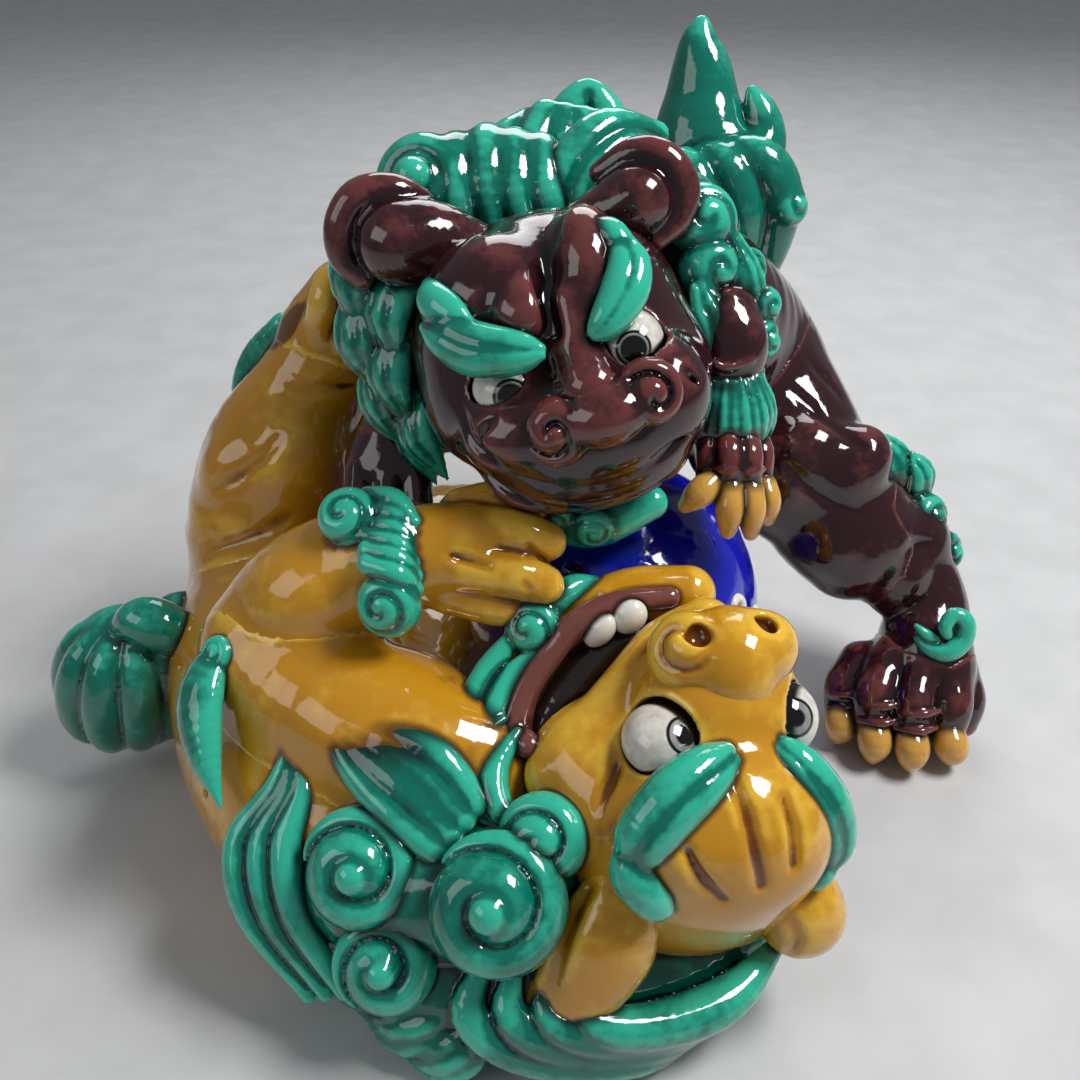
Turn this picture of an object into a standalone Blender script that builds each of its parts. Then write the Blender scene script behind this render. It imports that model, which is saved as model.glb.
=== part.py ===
"""Glazed ceramic group: two lion-dogs playing with a pierced ball.

An aubergine lion-dog stands over an amber one that lies on its back, and a hollow
cobalt ball lies between them. Every moulded piece is its own closed solid.
Landmarks are written in millimetres and made into metres by MM.
X runs to the right of the group, Y to its back, Z up.
"""
import math

import bmesh
import bpy
from mathutils import Vector
from mathutils.bvhtree import BVHTree

# ---------------------------------------------------------------- driving dimensions
MM = 0.001
JOINT_GAP = 0.4             # clearance between luted pieces
WALL = 5.0                  # least wall of the hollow castings
TABLE = 0.0                 # height of the flat unglazed underside

BALL_CENTRE = (24, 0, 62)
BALL_RADIUS = 48
BALL_HOLE_RADIUS = 6.5
BALL_SMALL_HOLE_RADIUS = 4
DRILL_REACH = 1.2              # drills start at the ball's centre and end this many radii out
VENT_RADIUS = 6
NECK_RADIUS = 9
SHARP_ANGLE = 50            # degrees between faces that keep a hard edge

FINE = 2.0                  # voxel sizes that fuse the lumps of one piece
MEDIUM = 2.6
COARSE = 3.4

EAR_TRIANGLES = 90
SMALL_TRIANGLES = 64
LIMB_TRIANGLES = 120
LOCK_TRIANGLES = 110
HEAD_TRIANGLES = 300
TORSO_TRIANGLES = 300
ROUND_SEGMENTS = 22
ROOM_SEGMENTS = 12

# ---------------------------------------------------------------- glaze colours
GLAZES = {
    "aubergine": ((0.085, 0.018, 0.022, 1), 0.12),
    "amber": ((0.560, 0.260, 0.022, 1), 0.12),
    "jade": ((0.000, 0.250, 0.155, 1), 0.12),
    "cobalt": ((0.008, 0.010, 0.300, 1), 0.10),
    "cream": ((0.760, 0.700, 0.580, 1), 0.15),
}


def clear_scene():
    for item in list(bpy.data.objects):
        bpy.data.objects.remove(item, do_unlink=True)


def glaze(name):
    """One shared glossy glaze for each colour."""
    material = bpy.data.materials.get(name)
    if material is None:
        colour, roughness = GLAZES[name]
        material = bpy.data.materials.new(name)
        material.use_nodes = True
        shader = material.node_tree.nodes["Principled BSDF"]
        shader.inputs["Base Color"].default_value = colour
        shader.inputs["Roughness"].default_value = roughness
        shader.inputs["Metallic"].default_value = 0.0
        material.diffuse_color = colour
    return material


# ---------------------------------------------------------------- lumps of one piece
def lump(centre, radii, turn=(0, 0, 0), segments=ROUND_SEGMENTS):
    """A rounded lump: a sphere stretched to three radii and turned by degrees."""
    rings = segments * 2 // 3
    bpy.ops.mesh.primitive_uv_sphere_add(segments=segments, ring_count=rings, radius=1)
    ball = bpy.context.object
    ball.scale = Vector(radii) * MM
    ball.rotation_euler = [math.radians(angle) for angle in turn]
    ball.location = Vector(centre) * MM
    bpy.context.view_layer.update()
    return ball


def roll(stations):
    """A tapered roll of clay through stations of (x, y, z, radius), with round ends."""
    curve = bpy.data.curves.new("roll", "CURVE")
    curve.dimensions = "3D"
    curve.bevel_depth = MM
    curve.bevel_resolution = 4
    curve.resolution_u = 8
    curve.use_fill_caps = True
    spline = curve.splines.new("BEZIER")
    spline.bezier_points.add(len(stations) - 1)
    for point, (x, y, z, radius) in zip(spline.bezier_points, stations):
        point.co = Vector((x, y, z)) * MM
        point.radius = radius
        point.handle_left_type = "AUTO"
        point.handle_right_type = "AUTO"
    body = bpy.data.objects.new("roll", curve)
    bpy.context.collection.objects.link(body)
    ends = [lump(station[:3], [station[3]] * 3) for station in (stations[0], stations[-1])]
    return [body] + ends


def flatten(items):
    """One flat list of the lumps, whether given alone or as a roll's list."""
    flat = []
    for item in items:
        if isinstance(item, list):
            flat.extend(item)
        else:
            flat.append(item)
    return flat


def evaluated_copy(source, name):
    """A plain mesh of an object as the viewport shows it, in world space."""
    graph = bpy.context.evaluated_depsgraph_get()
    mesh = bpy.data.meshes.new_from_object(source.evaluated_get(graph))
    mesh.transform(source.matrix_world)
    mesh.name = name
    return mesh


def joined(items, name):
    """One object that holds all the lumps, which are then removed."""
    bpy.context.view_layer.update()
    merged = bmesh.new()
    for item in items:
        merged.from_mesh(evaluated_copy(item, "lump"))
    mesh = bpy.data.meshes.new(name)
    merged.to_mesh(mesh)
    merged.free()
    for item in items:
        bpy.data.objects.remove(item, do_unlink=True)
    whole = bpy.data.objects.new(name, mesh)
    bpy.context.collection.objects.link(whole)
    return whole


def apply_modifiers(item):
    """Makes the evaluated shape the object's own mesh, in triangles."""
    bpy.context.view_layer.update()
    mesh = evaluated_copy(item, item.name)
    shape = bmesh.new()
    shape.from_mesh(mesh)
    bmesh.ops.triangulate(shape, faces=shape.faces)
    shape.to_mesh(mesh)
    shape.free()
    item.modifiers.clear()
    item.data = mesh


def extent(faces):
    """The diagonal of the box round some faces."""
    points = [vertex.co for face in faces for vertex in face.verts]
    spans = [max(p[axis] for p in points) - min(p[axis] for p in points) for axis in range(3)]
    return math.hypot(*spans)


def connected(faces):
    """Groups faces that meet along edges."""
    unseen = set(faces)
    groups = []
    while unseen:
        front = [unseen.pop()]
        group = list(front)
        while front:
            face = front.pop()
            for edge in face.edges:
                if len(edge.link_faces) != 2:
                    continue
                for other in edge.link_faces:
                    if other in unseen:
                        unseen.remove(other)
                        front.append(other)
                        group.append(other)
        groups.append(group)
    return groups


def largest_body(item):
    """Deletes every loose crumb, so one closed body is left."""
    shape = bmesh.new()
    shape.from_mesh(item.data)
    bodies = sorted(connected(shape.faces), key=extent, reverse=True)
    for body in bodies[1:]:
        bmesh.ops.delete(shape, geom=body, context="FACES")
    shape.to_mesh(item.data)
    shape.free()


def cut(item, cutter):
    """Takes the cutter's volume out of the item."""
    modifier = item.modifiers.new("cut", "BOOLEAN")
    modifier.operation = "DIFFERENCE"
    modifier.solver = "EXACT"
    modifier.use_self = True
    modifier.object = cutter
    apply_modifiers(item)
    bpy.data.objects.remove(cutter, do_unlink=True)


def swollen_copy(item, gap):
    """The piece grown by a gap, to cut a seat for it in its neighbour."""
    mesh = item.data.copy()
    shape = bmesh.new()
    shape.from_mesh(mesh)
    for vertex in shape.verts:
        vertex.co += vertex.normal * gap * MM
    shape.to_mesh(mesh)
    shape.free()
    copy = bpy.data.objects.new("seat", mesh)
    bpy.context.collection.objects.link(copy)
    return copy


def surface_tree(item):
    shape = bmesh.new()
    shape.from_mesh(item.data)
    tree = BVHTree.FromBMesh(shape)
    shape.free()
    return tree


def block_below(height):
    """A slab whose top face is at the given height."""
    bpy.ops.mesh.primitive_cube_add(size=1)
    slab = bpy.context.object
    slab.scale = (1, 1, 0.2)
    slab.location = (0, 0, height * MM - 0.1)
    bpy.context.view_layer.update()
    return slab


PIECES = []


def piece(name, colour, lumps, voxel=MEDIUM, triangles=LIMB_TRIANGLES, smoothing=2):
    """Fuses lumps into one closed solid and fits it against the pieces made before."""
    body = joined(flatten(lumps), name)
    remesh = body.modifiers.new("fuse", "REMESH")
    remesh.mode = "VOXEL"
    remesh.voxel_size = voxel * MM
    smooth = body.modifiers.new("smooth", "SMOOTH")
    smooth.iterations = smoothing
    apply_modifiers(body)
    thin = body.modifiers.new("thin", "DECIMATE")
    fused_triangles = len(body.data.polygons)
    thin.ratio = min(1.0, triangles / fused_triangles)
    apply_modifiers(body)
    return finish(body, colour)


def finish(body, colour):
    """Cuts the piece flat at the table and seats it on its earlier neighbours."""
    if min(vertex.co.z for vertex in body.data.vertices) < TABLE * MM:
        cut(body, block_below(TABLE))
    for other in PIECES:
        for gap in (JOINT_GAP, 2 * JOINT_GAP):
            if surface_tree(body).overlap(surface_tree(other)):
                cut(body, swollen_copy(other, gap))
                largest_body(body)
    body.data.materials.clear()
    body.data.materials.append(glaze(colour))
    body.data.shade_smooth()
    body.data.set_sharp_from_angle(angle=math.radians(SHARP_ANGLE))
    PIECES.append(body)
    return body


def drill(start, end, radius):
    """A round cutter between two points."""
    start = Vector(start) * MM
    axis = Vector(end) * MM - start
    bpy.ops.mesh.primitive_cylinder_add(vertices=16, radius=radius * MM, depth=axis.length)
    tool = bpy.context.object
    tool.rotation_euler = axis.to_track_quat("Z", "Y").to_euler()
    tool.location = start + axis / 2
    bpy.context.view_layer.update()
    return tool


# ---------------------------------------------------------------- hollow castings
def hollow(body, rooms, vents):
    """Empties a casting with rounded rooms and opens it with round vents."""
    for centre, radii in rooms:
        cut(body, lump(centre, radii, segments=ROOM_SEGMENTS))
    for start, end, radius in vents:
        cut(body, drill(start, end, radius))
    body.data.shade_smooth()
    body.data.set_sharp_from_angle(angle=math.radians(SHARP_ANGLE))


def hollow_castings():
    """Done last, so that every piece is seated on its neighbours' outsides."""
    made = {body.name: body for body in PIECES}
    x, y, z = BALL_CENTRE
    reach = BALL_RADIUS * DRILL_REACH
    inside = BALL_RADIUS - WALL
    hollow(made["ball_shell"], [(BALL_CENTRE, (inside, inside, inside))], [
        (BALL_CENTRE, (x + reach, y, z), BALL_HOLE_RADIUS),
        (BALL_CENTRE, (x + reach * 0.78, y - reach * 0.5, z + reach * 0.42), BALL_HOLE_RADIUS),
        (BALL_CENTRE, (x - reach * 0.3, y - reach * 0.62, z + reach * 0.72), BALL_SMALL_HOLE_RADIUS),
    ])
    for name, centre, radii, vent, radius in (
            ("plum_torso", (60, 74, 125), (28, 27, 27), (0, 0, -62), VENT_RADIUS),
            ("plum_head", (3, -10, 157), (30, 20, 25), (0, 70, 0), NECK_RADIUS),
            ("amber_torso", (-78, -20, 40), (30, 37, 31), (0, 0, -60), VENT_RADIUS)):
        way_out = tuple(c + step for c, step in zip(centre, vent))
        hollow(made[name], [(centre, radii)], [(centre, way_out, radius)])


# ---------------------------------------------------------------- the ball
def make_ball():
    finish(joined([lump(BALL_CENTRE, [BALL_RADIUS] * 3)], "ball_shell"), "cobalt")


# ---------------------------------------------------------------- the aubergine lion
def make_plum_lion():
    piece("plum_torso", "aubergine", [
        roll([(12, 38, 142, 30), (38, 56, 142, 37), (66, 80, 126, 38), (80, 92, 112, 34)]),
        lump((28, 54, 150), (38, 32, 36)),
    ], COARSE, TORSO_TRIANGLES)
    piece("plum_head", "aubergine", [
        lump((2, 0, 156), (42, 36, 36), (0, -20, 0)),
        lump((12, -30, 141), (30, 28, 22), (0, -20, 0)),
        lump((-13, -12, 172), (20, 20, 16), (0, -20, 0)),
        lump((10, -10, 180), (19, 20, 15), (0, -20, 0)),
        lump((17, -40, 135), (25, 16, 15), (0, -20, 0)),
    ], MEDIUM, HEAD_TRIANGLES)
    for side, root, middle, tip in (
            ("right", (-24, 8, 178), (-38, 9, 186), (-52, 8, 189)),
            ("left", (20, 14, 188), (31, 16, 197), (40, 18, 203))):
        piece("plum_" + side + "_ear", "aubergine",
              [roll([root + (9,), middle + (14,), tip + (13,)])], FINE, EAR_TRIANGLES)
    piece("plum_nose", "aubergine", [
        lump((16, -50, 155), (17, 10, 9), (0, -20, 0)),
        lump((6, -50, 150), (8, 8, 7)),
        lump((28, -46, 160), (8, 8, 7)),
    ], FINE, SMALL_TRIANGLES)
    for side, centre in (("right", (-8, -31, 155)), ("left", (28, -30, 166))):
        piece("plum_" + side + "_eye", "cream", [lump(centre, (10, 9, 8.5), (0, -20, 0))],
              FINE, SMALL_TRIANGLES)
    for side, stations in (
            ("right", [(-31, -14, 176, 5), (-22, -26, 174, 8.5), (-10, -33, 170, 8), (2, -39, 168, 4)]),
            ("left", [(20, -12, 194, 6), (27, -20, 190, 8.5), (25, -30, 182, 7.5), (17, -37, 175, 4)])):
        piece("plum_" + side + "_brow", "jade", [roll(stations)], FINE, SMALL_TRIANGLES)
    piece("plum_beard", "jade", [
        roll([(-6, -18, 116, 6), (8, -28, 111, 7), (22, -32, 112, 6), (36, -24, 118, 5)]),
    ], FINE, SMALL_TRIANGLES)
    piece("plum_right_mane", "jade", [
        roll([(-44, 22, 178, 12), (-46, 16, 160, 15), (-43, 10, 140, 15), (-33, 2, 122, 10)]),
    ], MEDIUM, LOCK_TRIANGLES)
    piece("plum_left_mane", "jade", [
        roll([(42, 24, 186, 12), (50, 26, 168, 14), (52, 18, 150, 12), (47, -2, 130, 7)]),
    ], MEDIUM, LOCK_TRIANGLES)
    piece("plum_crest_curl", "jade", [
        lump((-25, 42, 186), (20, 20, 19)), lump((-8, 46, 188), (17, 18, 18)),
    ], MEDIUM, LOCK_TRIANGLES)
    piece("plum_crest_middle", "jade", [
        lump((14, 54, 187), (21, 26, 17)), lump((26, 44, 184), (17, 22, 16)),
    ], MEDIUM, LOCK_TRIANGLES)
    piece("plum_crest_rear", "jade", [
        roll([(34, 72, 176, 20), (20, 80, 190, 17), (14, 84, 203, 7)]), lump((40, 70, 172), (18, 20, 14)),
    ], MEDIUM, LOCK_TRIANGLES)

    piece("plum_left_upper_foreleg", "aubergine", [
        roll([(54, 34, 150, 19), (64, 18, 152, 17), (66, 8, 146, 15), (62, -4, 136, 13)]),
    ], MEDIUM, LIMB_TRIANGLES)
    piece("plum_left_forepaw", "aubergine", [
        lump((59, -14, 120), (16, 14, 13)),
        roll([(48, -20, 116, 5), (49, -27, 107, 4)]), roll([(55, -23, 116, 5), (55, -30, 106, 4)]),
        roll([(62, -23, 116, 5), (62, -30, 106, 4)]), roll([(69, -19, 116, 5), (69, -26, 107, 4)]),
    ], FINE, LIMB_TRIANGLES)
    piece("plum_left_cuff", "jade", [
        roll([(50, -12, 131, 6), (59, -19, 134, 6), (69, -10, 134, 6), (72, 2, 136, 6)]),
    ], FINE, SMALL_TRIANGLES)
    piece("plum_left_elbow_curls", "jade", [
        lump((76, 26, 148), (8, 14, 14)), lump((74, 40, 158), (9, 12, 12)),
    ], FINE, SMALL_TRIANGLES)
    piece("plum_right_upper_foreleg", "aubergine", [
        roll([(-20, 34, 138, 19), (-34, 22, 128, 16), (-44, 10, 120, 13)]),
    ], MEDIUM, LIMB_TRIANGLES)
    piece("plum_right_forepaw", "aubergine", [
        lump((-46, 2, 113), (15, 14, 11)), roll([(-52, -8, 110, 5), (-52, -14, 104, 4)]),
        roll([(-44, -10, 110, 5), (-44, -16, 104, 4)]), roll([(-37, -8, 110, 5), (-36, -14, 104, 4)]),
    ], FINE, LIMB_TRIANGLES)

    piece("plum_left_thigh", "aubergine", [
        roll([(86, 76, 108, 30), (100, 56, 88, 29), (106, 38, 72, 25), (110, 30, 62, 21)]),
    ], COARSE, TORSO_TRIANGLES // 2)
    piece("plum_left_shank", "aubergine", [
        roll([(118, 38, 68, 22), (131, 36, 54, 19), (136, 26, 38, 19), (134, 16, 30, 19)]),
    ], MEDIUM, LIMB_TRIANGLES)
    piece("plum_left_hind_paw", "aubergine", [
        lump((130, 8, 14), (26, 19, 17)),
        roll([(112, 0, 11, 8), (110, -7, 5, 6)]), roll([(123, -3, 11, 8), (122, -12, 5, 6)]),
        roll([(135, -3, 11, 8), (135, -12, 5, 6)]), roll([(147, 2, 11, 8), (149, -6, 5, 6)]),
    ], MEDIUM, LIMB_TRIANGLES)
    piece("plum_left_hock_tuft", "jade", [
        roll([(126, 52, 84, 6), (134, 52, 76, 9), (140, 50, 64, 8), (146, 46, 54, 5)]),
    ], FINE, SMALL_TRIANGLES)
    piece("plum_right_hind_leg", "aubergine", [
        roll([(50, 108, 98, 26), (40, 112, 80, 24), (32, 106, 62, 19), (28, 114, 40, 16), (28, 110, 26, 16)]),
    ], COARSE, LIMB_TRIANGLES)
    piece("plum_right_hind_paw", "aubergine", [
        lump((28, 104, 13), (22, 24, 15)),
    ], MEDIUM, LIMB_TRIANGLES)
    piece("plum_tail", "jade", [
        roll([(76, 110, 124, 20), (74, 122, 150, 25), (66, 128, 178, 21), (59, 134, 205, 11), (57, 136, 215, 5)]),
        roll([(78, 118, 150, 18), (84, 122, 180, 11), (84, 124, 196, 5)]),
    ], MEDIUM, LOCK_TRIANGLES * 2)


# ---------------------------------------------------------------- the amber lion
def make_amber_lion():
    piece("amber_torso", "amber", [
        roll([(-88, 30, 40, 40), (-84, -8, 38, 41), (-69, -47, 36, 40), (-50, -70, 35, 36), (-24, -80, 36, 28)]),
    ], COARSE, TORSO_TRIANGLES)
    head = piece("amber_head", "amber", [
        lump((41, -88, 52), (43, 37, 38)),
        lump((46, -72, 78), (34, 30, 28)),
        lump((48, -108, 62), (30, 22, 26)),
        lump((18, -72, 62), (24, 24, 26)),
    ], MEDIUM, HEAD_TRIANGLES)
    cut(head, lump((12, -58, 80), (20, 12, 16), (0, 30, 0)))
    piece("amber_lower_jaw", "amber", [
        roll([(-2, -62, 66, 8), (8, -56, 84, 8), (24, -52, 95, 8), (42, -50, 96, 8)]),
    ], FINE, LIMB_TRIANGLES)
    piece("amber_nose", "amber", [
        lump((40, -76, 103), (11, 12, 8)), lump((58, -74, 100), (11, 12, 8)), lump((49, -72, 104), (12, 10, 8)),
    ], FINE, LIMB_TRIANGLES)
    piece("amber_upper_teeth", "cream", [
        lump((13, -60, 92), (5, 5, 7)), lump((22, -61, 95), (5, 5, 7)), lump((18, -61, 92), (6, 4, 5)),
    ], FINE, SMALL_TRIANGLES)
    for side, centre, size in (("left", (31, -95, 88), 10.5), ("right", (64, -86, 86), 9)):
        piece("amber_" + side + "_eye", "cream", [lump(centre, [size] * 3)], FINE, SMALL_TRIANGLES)
    for side, stations in (
            ("left", [(45, -103, 91, 5), (36, -111, 86, 8.5), (28, -118, 76, 8.5), (24, -122, 66, 8), (27, -124, 60, 5)]),
            ("right", [(66, -97, 87, 6), (74, -101, 78, 9), (79, -102, 66, 9), (76, -107, 57, 6)])):
        piece("amber_" + side + "_brow", "jade", [roll(stations)], FINE, SMALL_TRIANGLES)
    for side, stations in (
            ("left", [(21, -114, 54, 9), (13, -122, 42, 13), (4, -126, 26, 11), (-4, -124, 15, 7)]),
            ("right", [(64, -106, 50, 9), (72, -108, 38, 13), (75, -106, 30, 13)])):
        piece("amber_" + side + "_ear", "amber", [roll(stations)], FINE, EAR_TRIANGLES)

    piece("amber_left_upper_foreleg", "amber", [
        roll([(-30, -78, 60, 24), (-56, -62, 64, 24), (-80, -44, 70, 21)]),
    ], MEDIUM, LIMB_TRIANGLES)
    piece("amber_left_forearm", "amber", [
        roll([(-78, -36, 80, 20), (-62, -38, 94, 20), (-44, -42, 105, 18)]),
    ], MEDIUM, LIMB_TRIANGLES)
    piece("amber_left_forepaw", "amber", [
        lump((-24, -44, 110), (17, 15, 16)),
        roll([(-18, -38, 119, 6), (-4, -38, 118, 5.5)]), roll([(-14, -46, 111, 7), (0, -46, 108, 6)]),
        roll([(-18, -52, 102, 6.5), (-4, -50, 99, 5.5)]),
    ], FINE, LIMB_TRIANGLES)
    piece("amber_left_cuff", "jade", [
        roll([(-54, -34, 121, 6), (-44, -42, 123, 6.5), (-36, -52, 114, 6), (-40, -57, 102, 8)]),
    ], FINE, LIMB_TRIANGLES)
    piece("amber_right_foreleg", "amber", [
        roll([(-44, -30, 40, 20), (-42, 4, 34, 17), (-28, 30, 36, 14), (-14, 38, 40, 12)]),
    ], MEDIUM, LIMB_TRIANGLES)
    piece("amber_left_thigh", "amber", [
        roll([(-92, 34, 80, 33), (-90, 38, 98, 31), (-80, 42, 118, 26), (-73, 45, 132, 21)]),
    ], MEDIUM, LIMB_TRIANGLES)
    piece("amber_left_hind_paw", "amber", [
        roll([(-67, 48, 146, 18), (-60, 46, 150, 15)]),
        roll([(-64, 36, 152, 7), (-58, 30, 148, 6)]), roll([(-56, 40, 158, 7), (-50, 34, 154, 6)]),
    ], FINE, LIMB_TRIANGLES)
    piece("amber_right_hind_leg", "amber", [
        roll([(-58, 58, 38, 27), (-34, 76, 34, 25), (-14, 78, 28, 19), (4, 66, 18, 14), (16, 60, 12, 12)]),
    ], MEDIUM, LIMB_TRIANGLES)
    piece("amber_tail_ball", "jade", [
        lump((-139, -6, 34), (25, 23, 31)), lump((-122, 4, 44), (16, 14, 18)),
    ], MEDIUM, LOCK_TRIANGLES)

    piece("amber_mane_base", "jade", [
        roll([(-46, -104, 16, 18), (-24, -116, 16, 19), (10, -116, 14, 18), (40, -106, 14, 16), (56, -98, 14, 12)]),
        roll([(-62, -94, 34, 17), (-42, -104, 38, 21), (-14, -108, 44, 21), (2, -104, 50, 16)]),
    ], MEDIUM, LOCK_TRIANGLES * 2)
    for name, centre, radius in (
            ("outer", (-49, -106, 57), 16), ("front", (-18, -120, 56), 17), ("lower", (-43, -122, 34), 13)):
        piece("amber_mane_curl_" + name, "jade", [lump(centre, (radius, radius * 0.8, radius))],
              FINE, LOCK_TRIANGLES)
    piece("amber_mane_flame_outer", "jade", [
        roll([(-72, -74, 60, 5), (-76, -87, 50, 9), (-71, -102, 36, 11), (-58, -116, 24, 8)]),
    ], FINE, LOCK_TRIANGLES)
    piece("amber_mane_flame_inner", "jade", [
        roll([(-55, -76, 76, 4), (-44, -84, 72, 9), (-28, -90, 70, 11), (-14, -94, 68, 9)]),
    ], FINE, LOCK_TRIANGLES)
    piece("amber_cheek_curl", "jade", [lump((-1, -106, 66), (11, 9, 11))], FINE, SMALL_TRIANGLES)
    piece("amber_cheek_lock", "jade", [
        roll([(0, -54, 88, 6), (-10, -62, 80, 8), (-15, -76, 70, 9), (-10, -90, 62, 8)]),
    ], FINE, LOCK_TRIANGLES)
    piece("amber_flank_leaf", "jade", [
        roll([(-90, -44, 80, 3), (-96, -58, 74, 6), (-96, -70, 66, 6), (-92, -82, 58, 3)]),
    ], FINE, SMALL_TRIANGLES)
    piece("amber_hind_tuft", "jade", [
        roll([(-116, 54, 104, 5), (-112, 56, 116, 8), (-102, 58, 132, 8), (-88, 58, 146, 5)]),
    ], FINE, SMALL_TRIANGLES)


def place_on_origin():
    """Puts the origin at the middle of the group's footprint, on the table."""
    corners = [vertex.co for body in PIECES for vertex in body.data.vertices]
    middle_x = (min(c.x for c in corners) + max(c.x for c in corners)) / 2
    middle_y = (min(c.y for c in corners) + max(c.y for c in corners)) / 2
    base = bpy.data.objects.new("group_origin", None)
    bpy.context.collection.objects.link(base)
    base.location = (-middle_x, -middle_y, 0)
    for body in PIECES:
        body.parent = base
    bpy.context.view_layer.update()


clear_scene()
make_ball()
make_plum_lion()
make_amber_lion()
hollow_castings()
place_on_origin()
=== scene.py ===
"""The looks of the glazed lion-dog group: every moulded piece sculpted as one closed shell of clay.

Clay is modelled as a distance field: lumps, rolls, locks and curls are laid together, creases are
carved out, and the field's zero surface becomes the mesh. Landmarks are in millimetres, measured
from the ball that both lion-dogs play with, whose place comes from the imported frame.
"""
import math

import bpy
import numpy as np
import openvdb
from mathutils import Euler, Matrix, Vector


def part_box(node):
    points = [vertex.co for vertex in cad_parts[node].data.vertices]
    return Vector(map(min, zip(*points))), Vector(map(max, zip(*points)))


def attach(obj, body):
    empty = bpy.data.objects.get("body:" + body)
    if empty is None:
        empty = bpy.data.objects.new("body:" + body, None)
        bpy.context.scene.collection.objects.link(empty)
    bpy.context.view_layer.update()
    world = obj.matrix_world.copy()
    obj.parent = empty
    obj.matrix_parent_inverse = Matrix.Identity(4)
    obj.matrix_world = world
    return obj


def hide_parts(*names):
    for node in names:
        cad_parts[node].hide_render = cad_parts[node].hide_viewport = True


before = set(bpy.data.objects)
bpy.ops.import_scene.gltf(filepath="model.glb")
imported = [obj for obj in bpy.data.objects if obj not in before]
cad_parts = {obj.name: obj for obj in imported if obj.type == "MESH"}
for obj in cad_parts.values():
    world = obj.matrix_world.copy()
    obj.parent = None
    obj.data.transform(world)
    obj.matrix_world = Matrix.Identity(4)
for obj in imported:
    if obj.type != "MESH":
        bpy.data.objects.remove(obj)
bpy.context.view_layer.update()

# ---------------------------------------------------------------- scale and place
MM = 0.001
BALL_AT = np.array([24.0, 0.0, 62.0])       # the ball's centre in the landmarks' own millimetres
ball_low, ball_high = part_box("ball_shell")
BALL_RADIUS = (ball_high[2] - ball_low[2]) / 2 / MM
ORIGIN = np.array(ball_low) / MM + BALL_RADIUS - BALL_AT
COARSER = 1.15
FAR = 60.0                                  # the distance that stands for empty space
MARGIN = 9.0                                # how far round a shape its distance is worked out
BODY_BLEND = 7.0                            # how softly the parts of one body run together
OVERLAP = 1.6                               # how far pieces of one body lap over each other
INSET = 0.14                                # how far each lower lap lies under the upper one
TABLE_TOP = 0.05                            # where the clay is cut flat, a hair above the table
SEAM_REACH = 6.0                            # how far round a piece other clay is looked for
EVENING_PULLS = (0.6, -0.35, 0.6, -0.35)    # even the quads out without shrinking the piece
SMOOTHING_AREA = 1.4                        # one round of smoothing, in square millimetres of voxel
RELIEF = (("groove", 3, 3), ("hollow", 14, 10))     # attribute, rounds of smoothing, of softening


def unit(vector):
    vector = np.asarray(vector, float)
    return vector / np.linalg.norm(vector)


# ---------------------------------------------------------------- clay shapes
def smooth_min(a, b, k):
    gap = np.maximum(k - np.abs(a - b), 0.0)
    return np.minimum(a, b) - gap * gap * (0.25 / k)


def smooth_max(a, b, k):
    return -smooth_min(-a, -b, k)


class Shape:
    """Clay added to a piece or, once carved() is called, taken out of it."""
    mode = "add"
    blend = 3.0

    def soft(self, blend):
        self.blend = blend
        return self

    def carved(self, blend=1.0):
        self.mode = "carve"
        self.blend = blend
        return self


class Lump(Shape):
    """A stretched ball, turned by degrees about X, Y and Z."""

    def __init__(self, centre, radii, turn=(0, 0, 0)):
        self.centre = np.array(centre, float)
        self.radii = np.full(3, radii, float) if np.isscalar(radii) else np.array(radii, float)
        self.axes = np.array(Euler([math.radians(a) for a in turn]).to_matrix())
        reach = np.abs(self.axes) @ self.radii
        self.low = self.centre - reach
        self.high = self.centre + reach

    def distance(self, x, y, z):
        dx = x - self.centre[0]
        dy = y - self.centre[1]
        dz = z - self.centre[2]
        near = 0.0
        steep = 0.0
        for column, radius in zip(self.axes.T, self.radii):
            along = (dx * column[0] + dy * column[1] + dz * column[2]) / radius
            near = near + along * along
            steep = steep + (along / radius) ** 2
        near = np.sqrt(near)
        return near * (near - 1.0) / np.maximum(np.sqrt(steep), 1e-6)


def smooth_path(stations, samples):
    """Points of a Catmull-Rom curve through the stations."""
    p = np.array(stations, float)
    p = np.vstack([2 * p[0] - p[1], p, 2 * p[-1] - p[-2]])
    out = []
    for i in range(1, len(p) - 2):
        for t in np.arange(samples) / samples:
            out.append(0.5 * (2 * p[i] + (p[i + 1] - p[i - 1]) * t
                              + (2 * p[i - 1] - 5 * p[i] + 4 * p[i + 1] - p[i + 2]) * t * t
                              + (3 * p[i] - p[i - 1] - 3 * p[i + 1] + p[i + 2]) * t ** 3))
    out.append(p[-2])
    return np.array(out)


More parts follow.
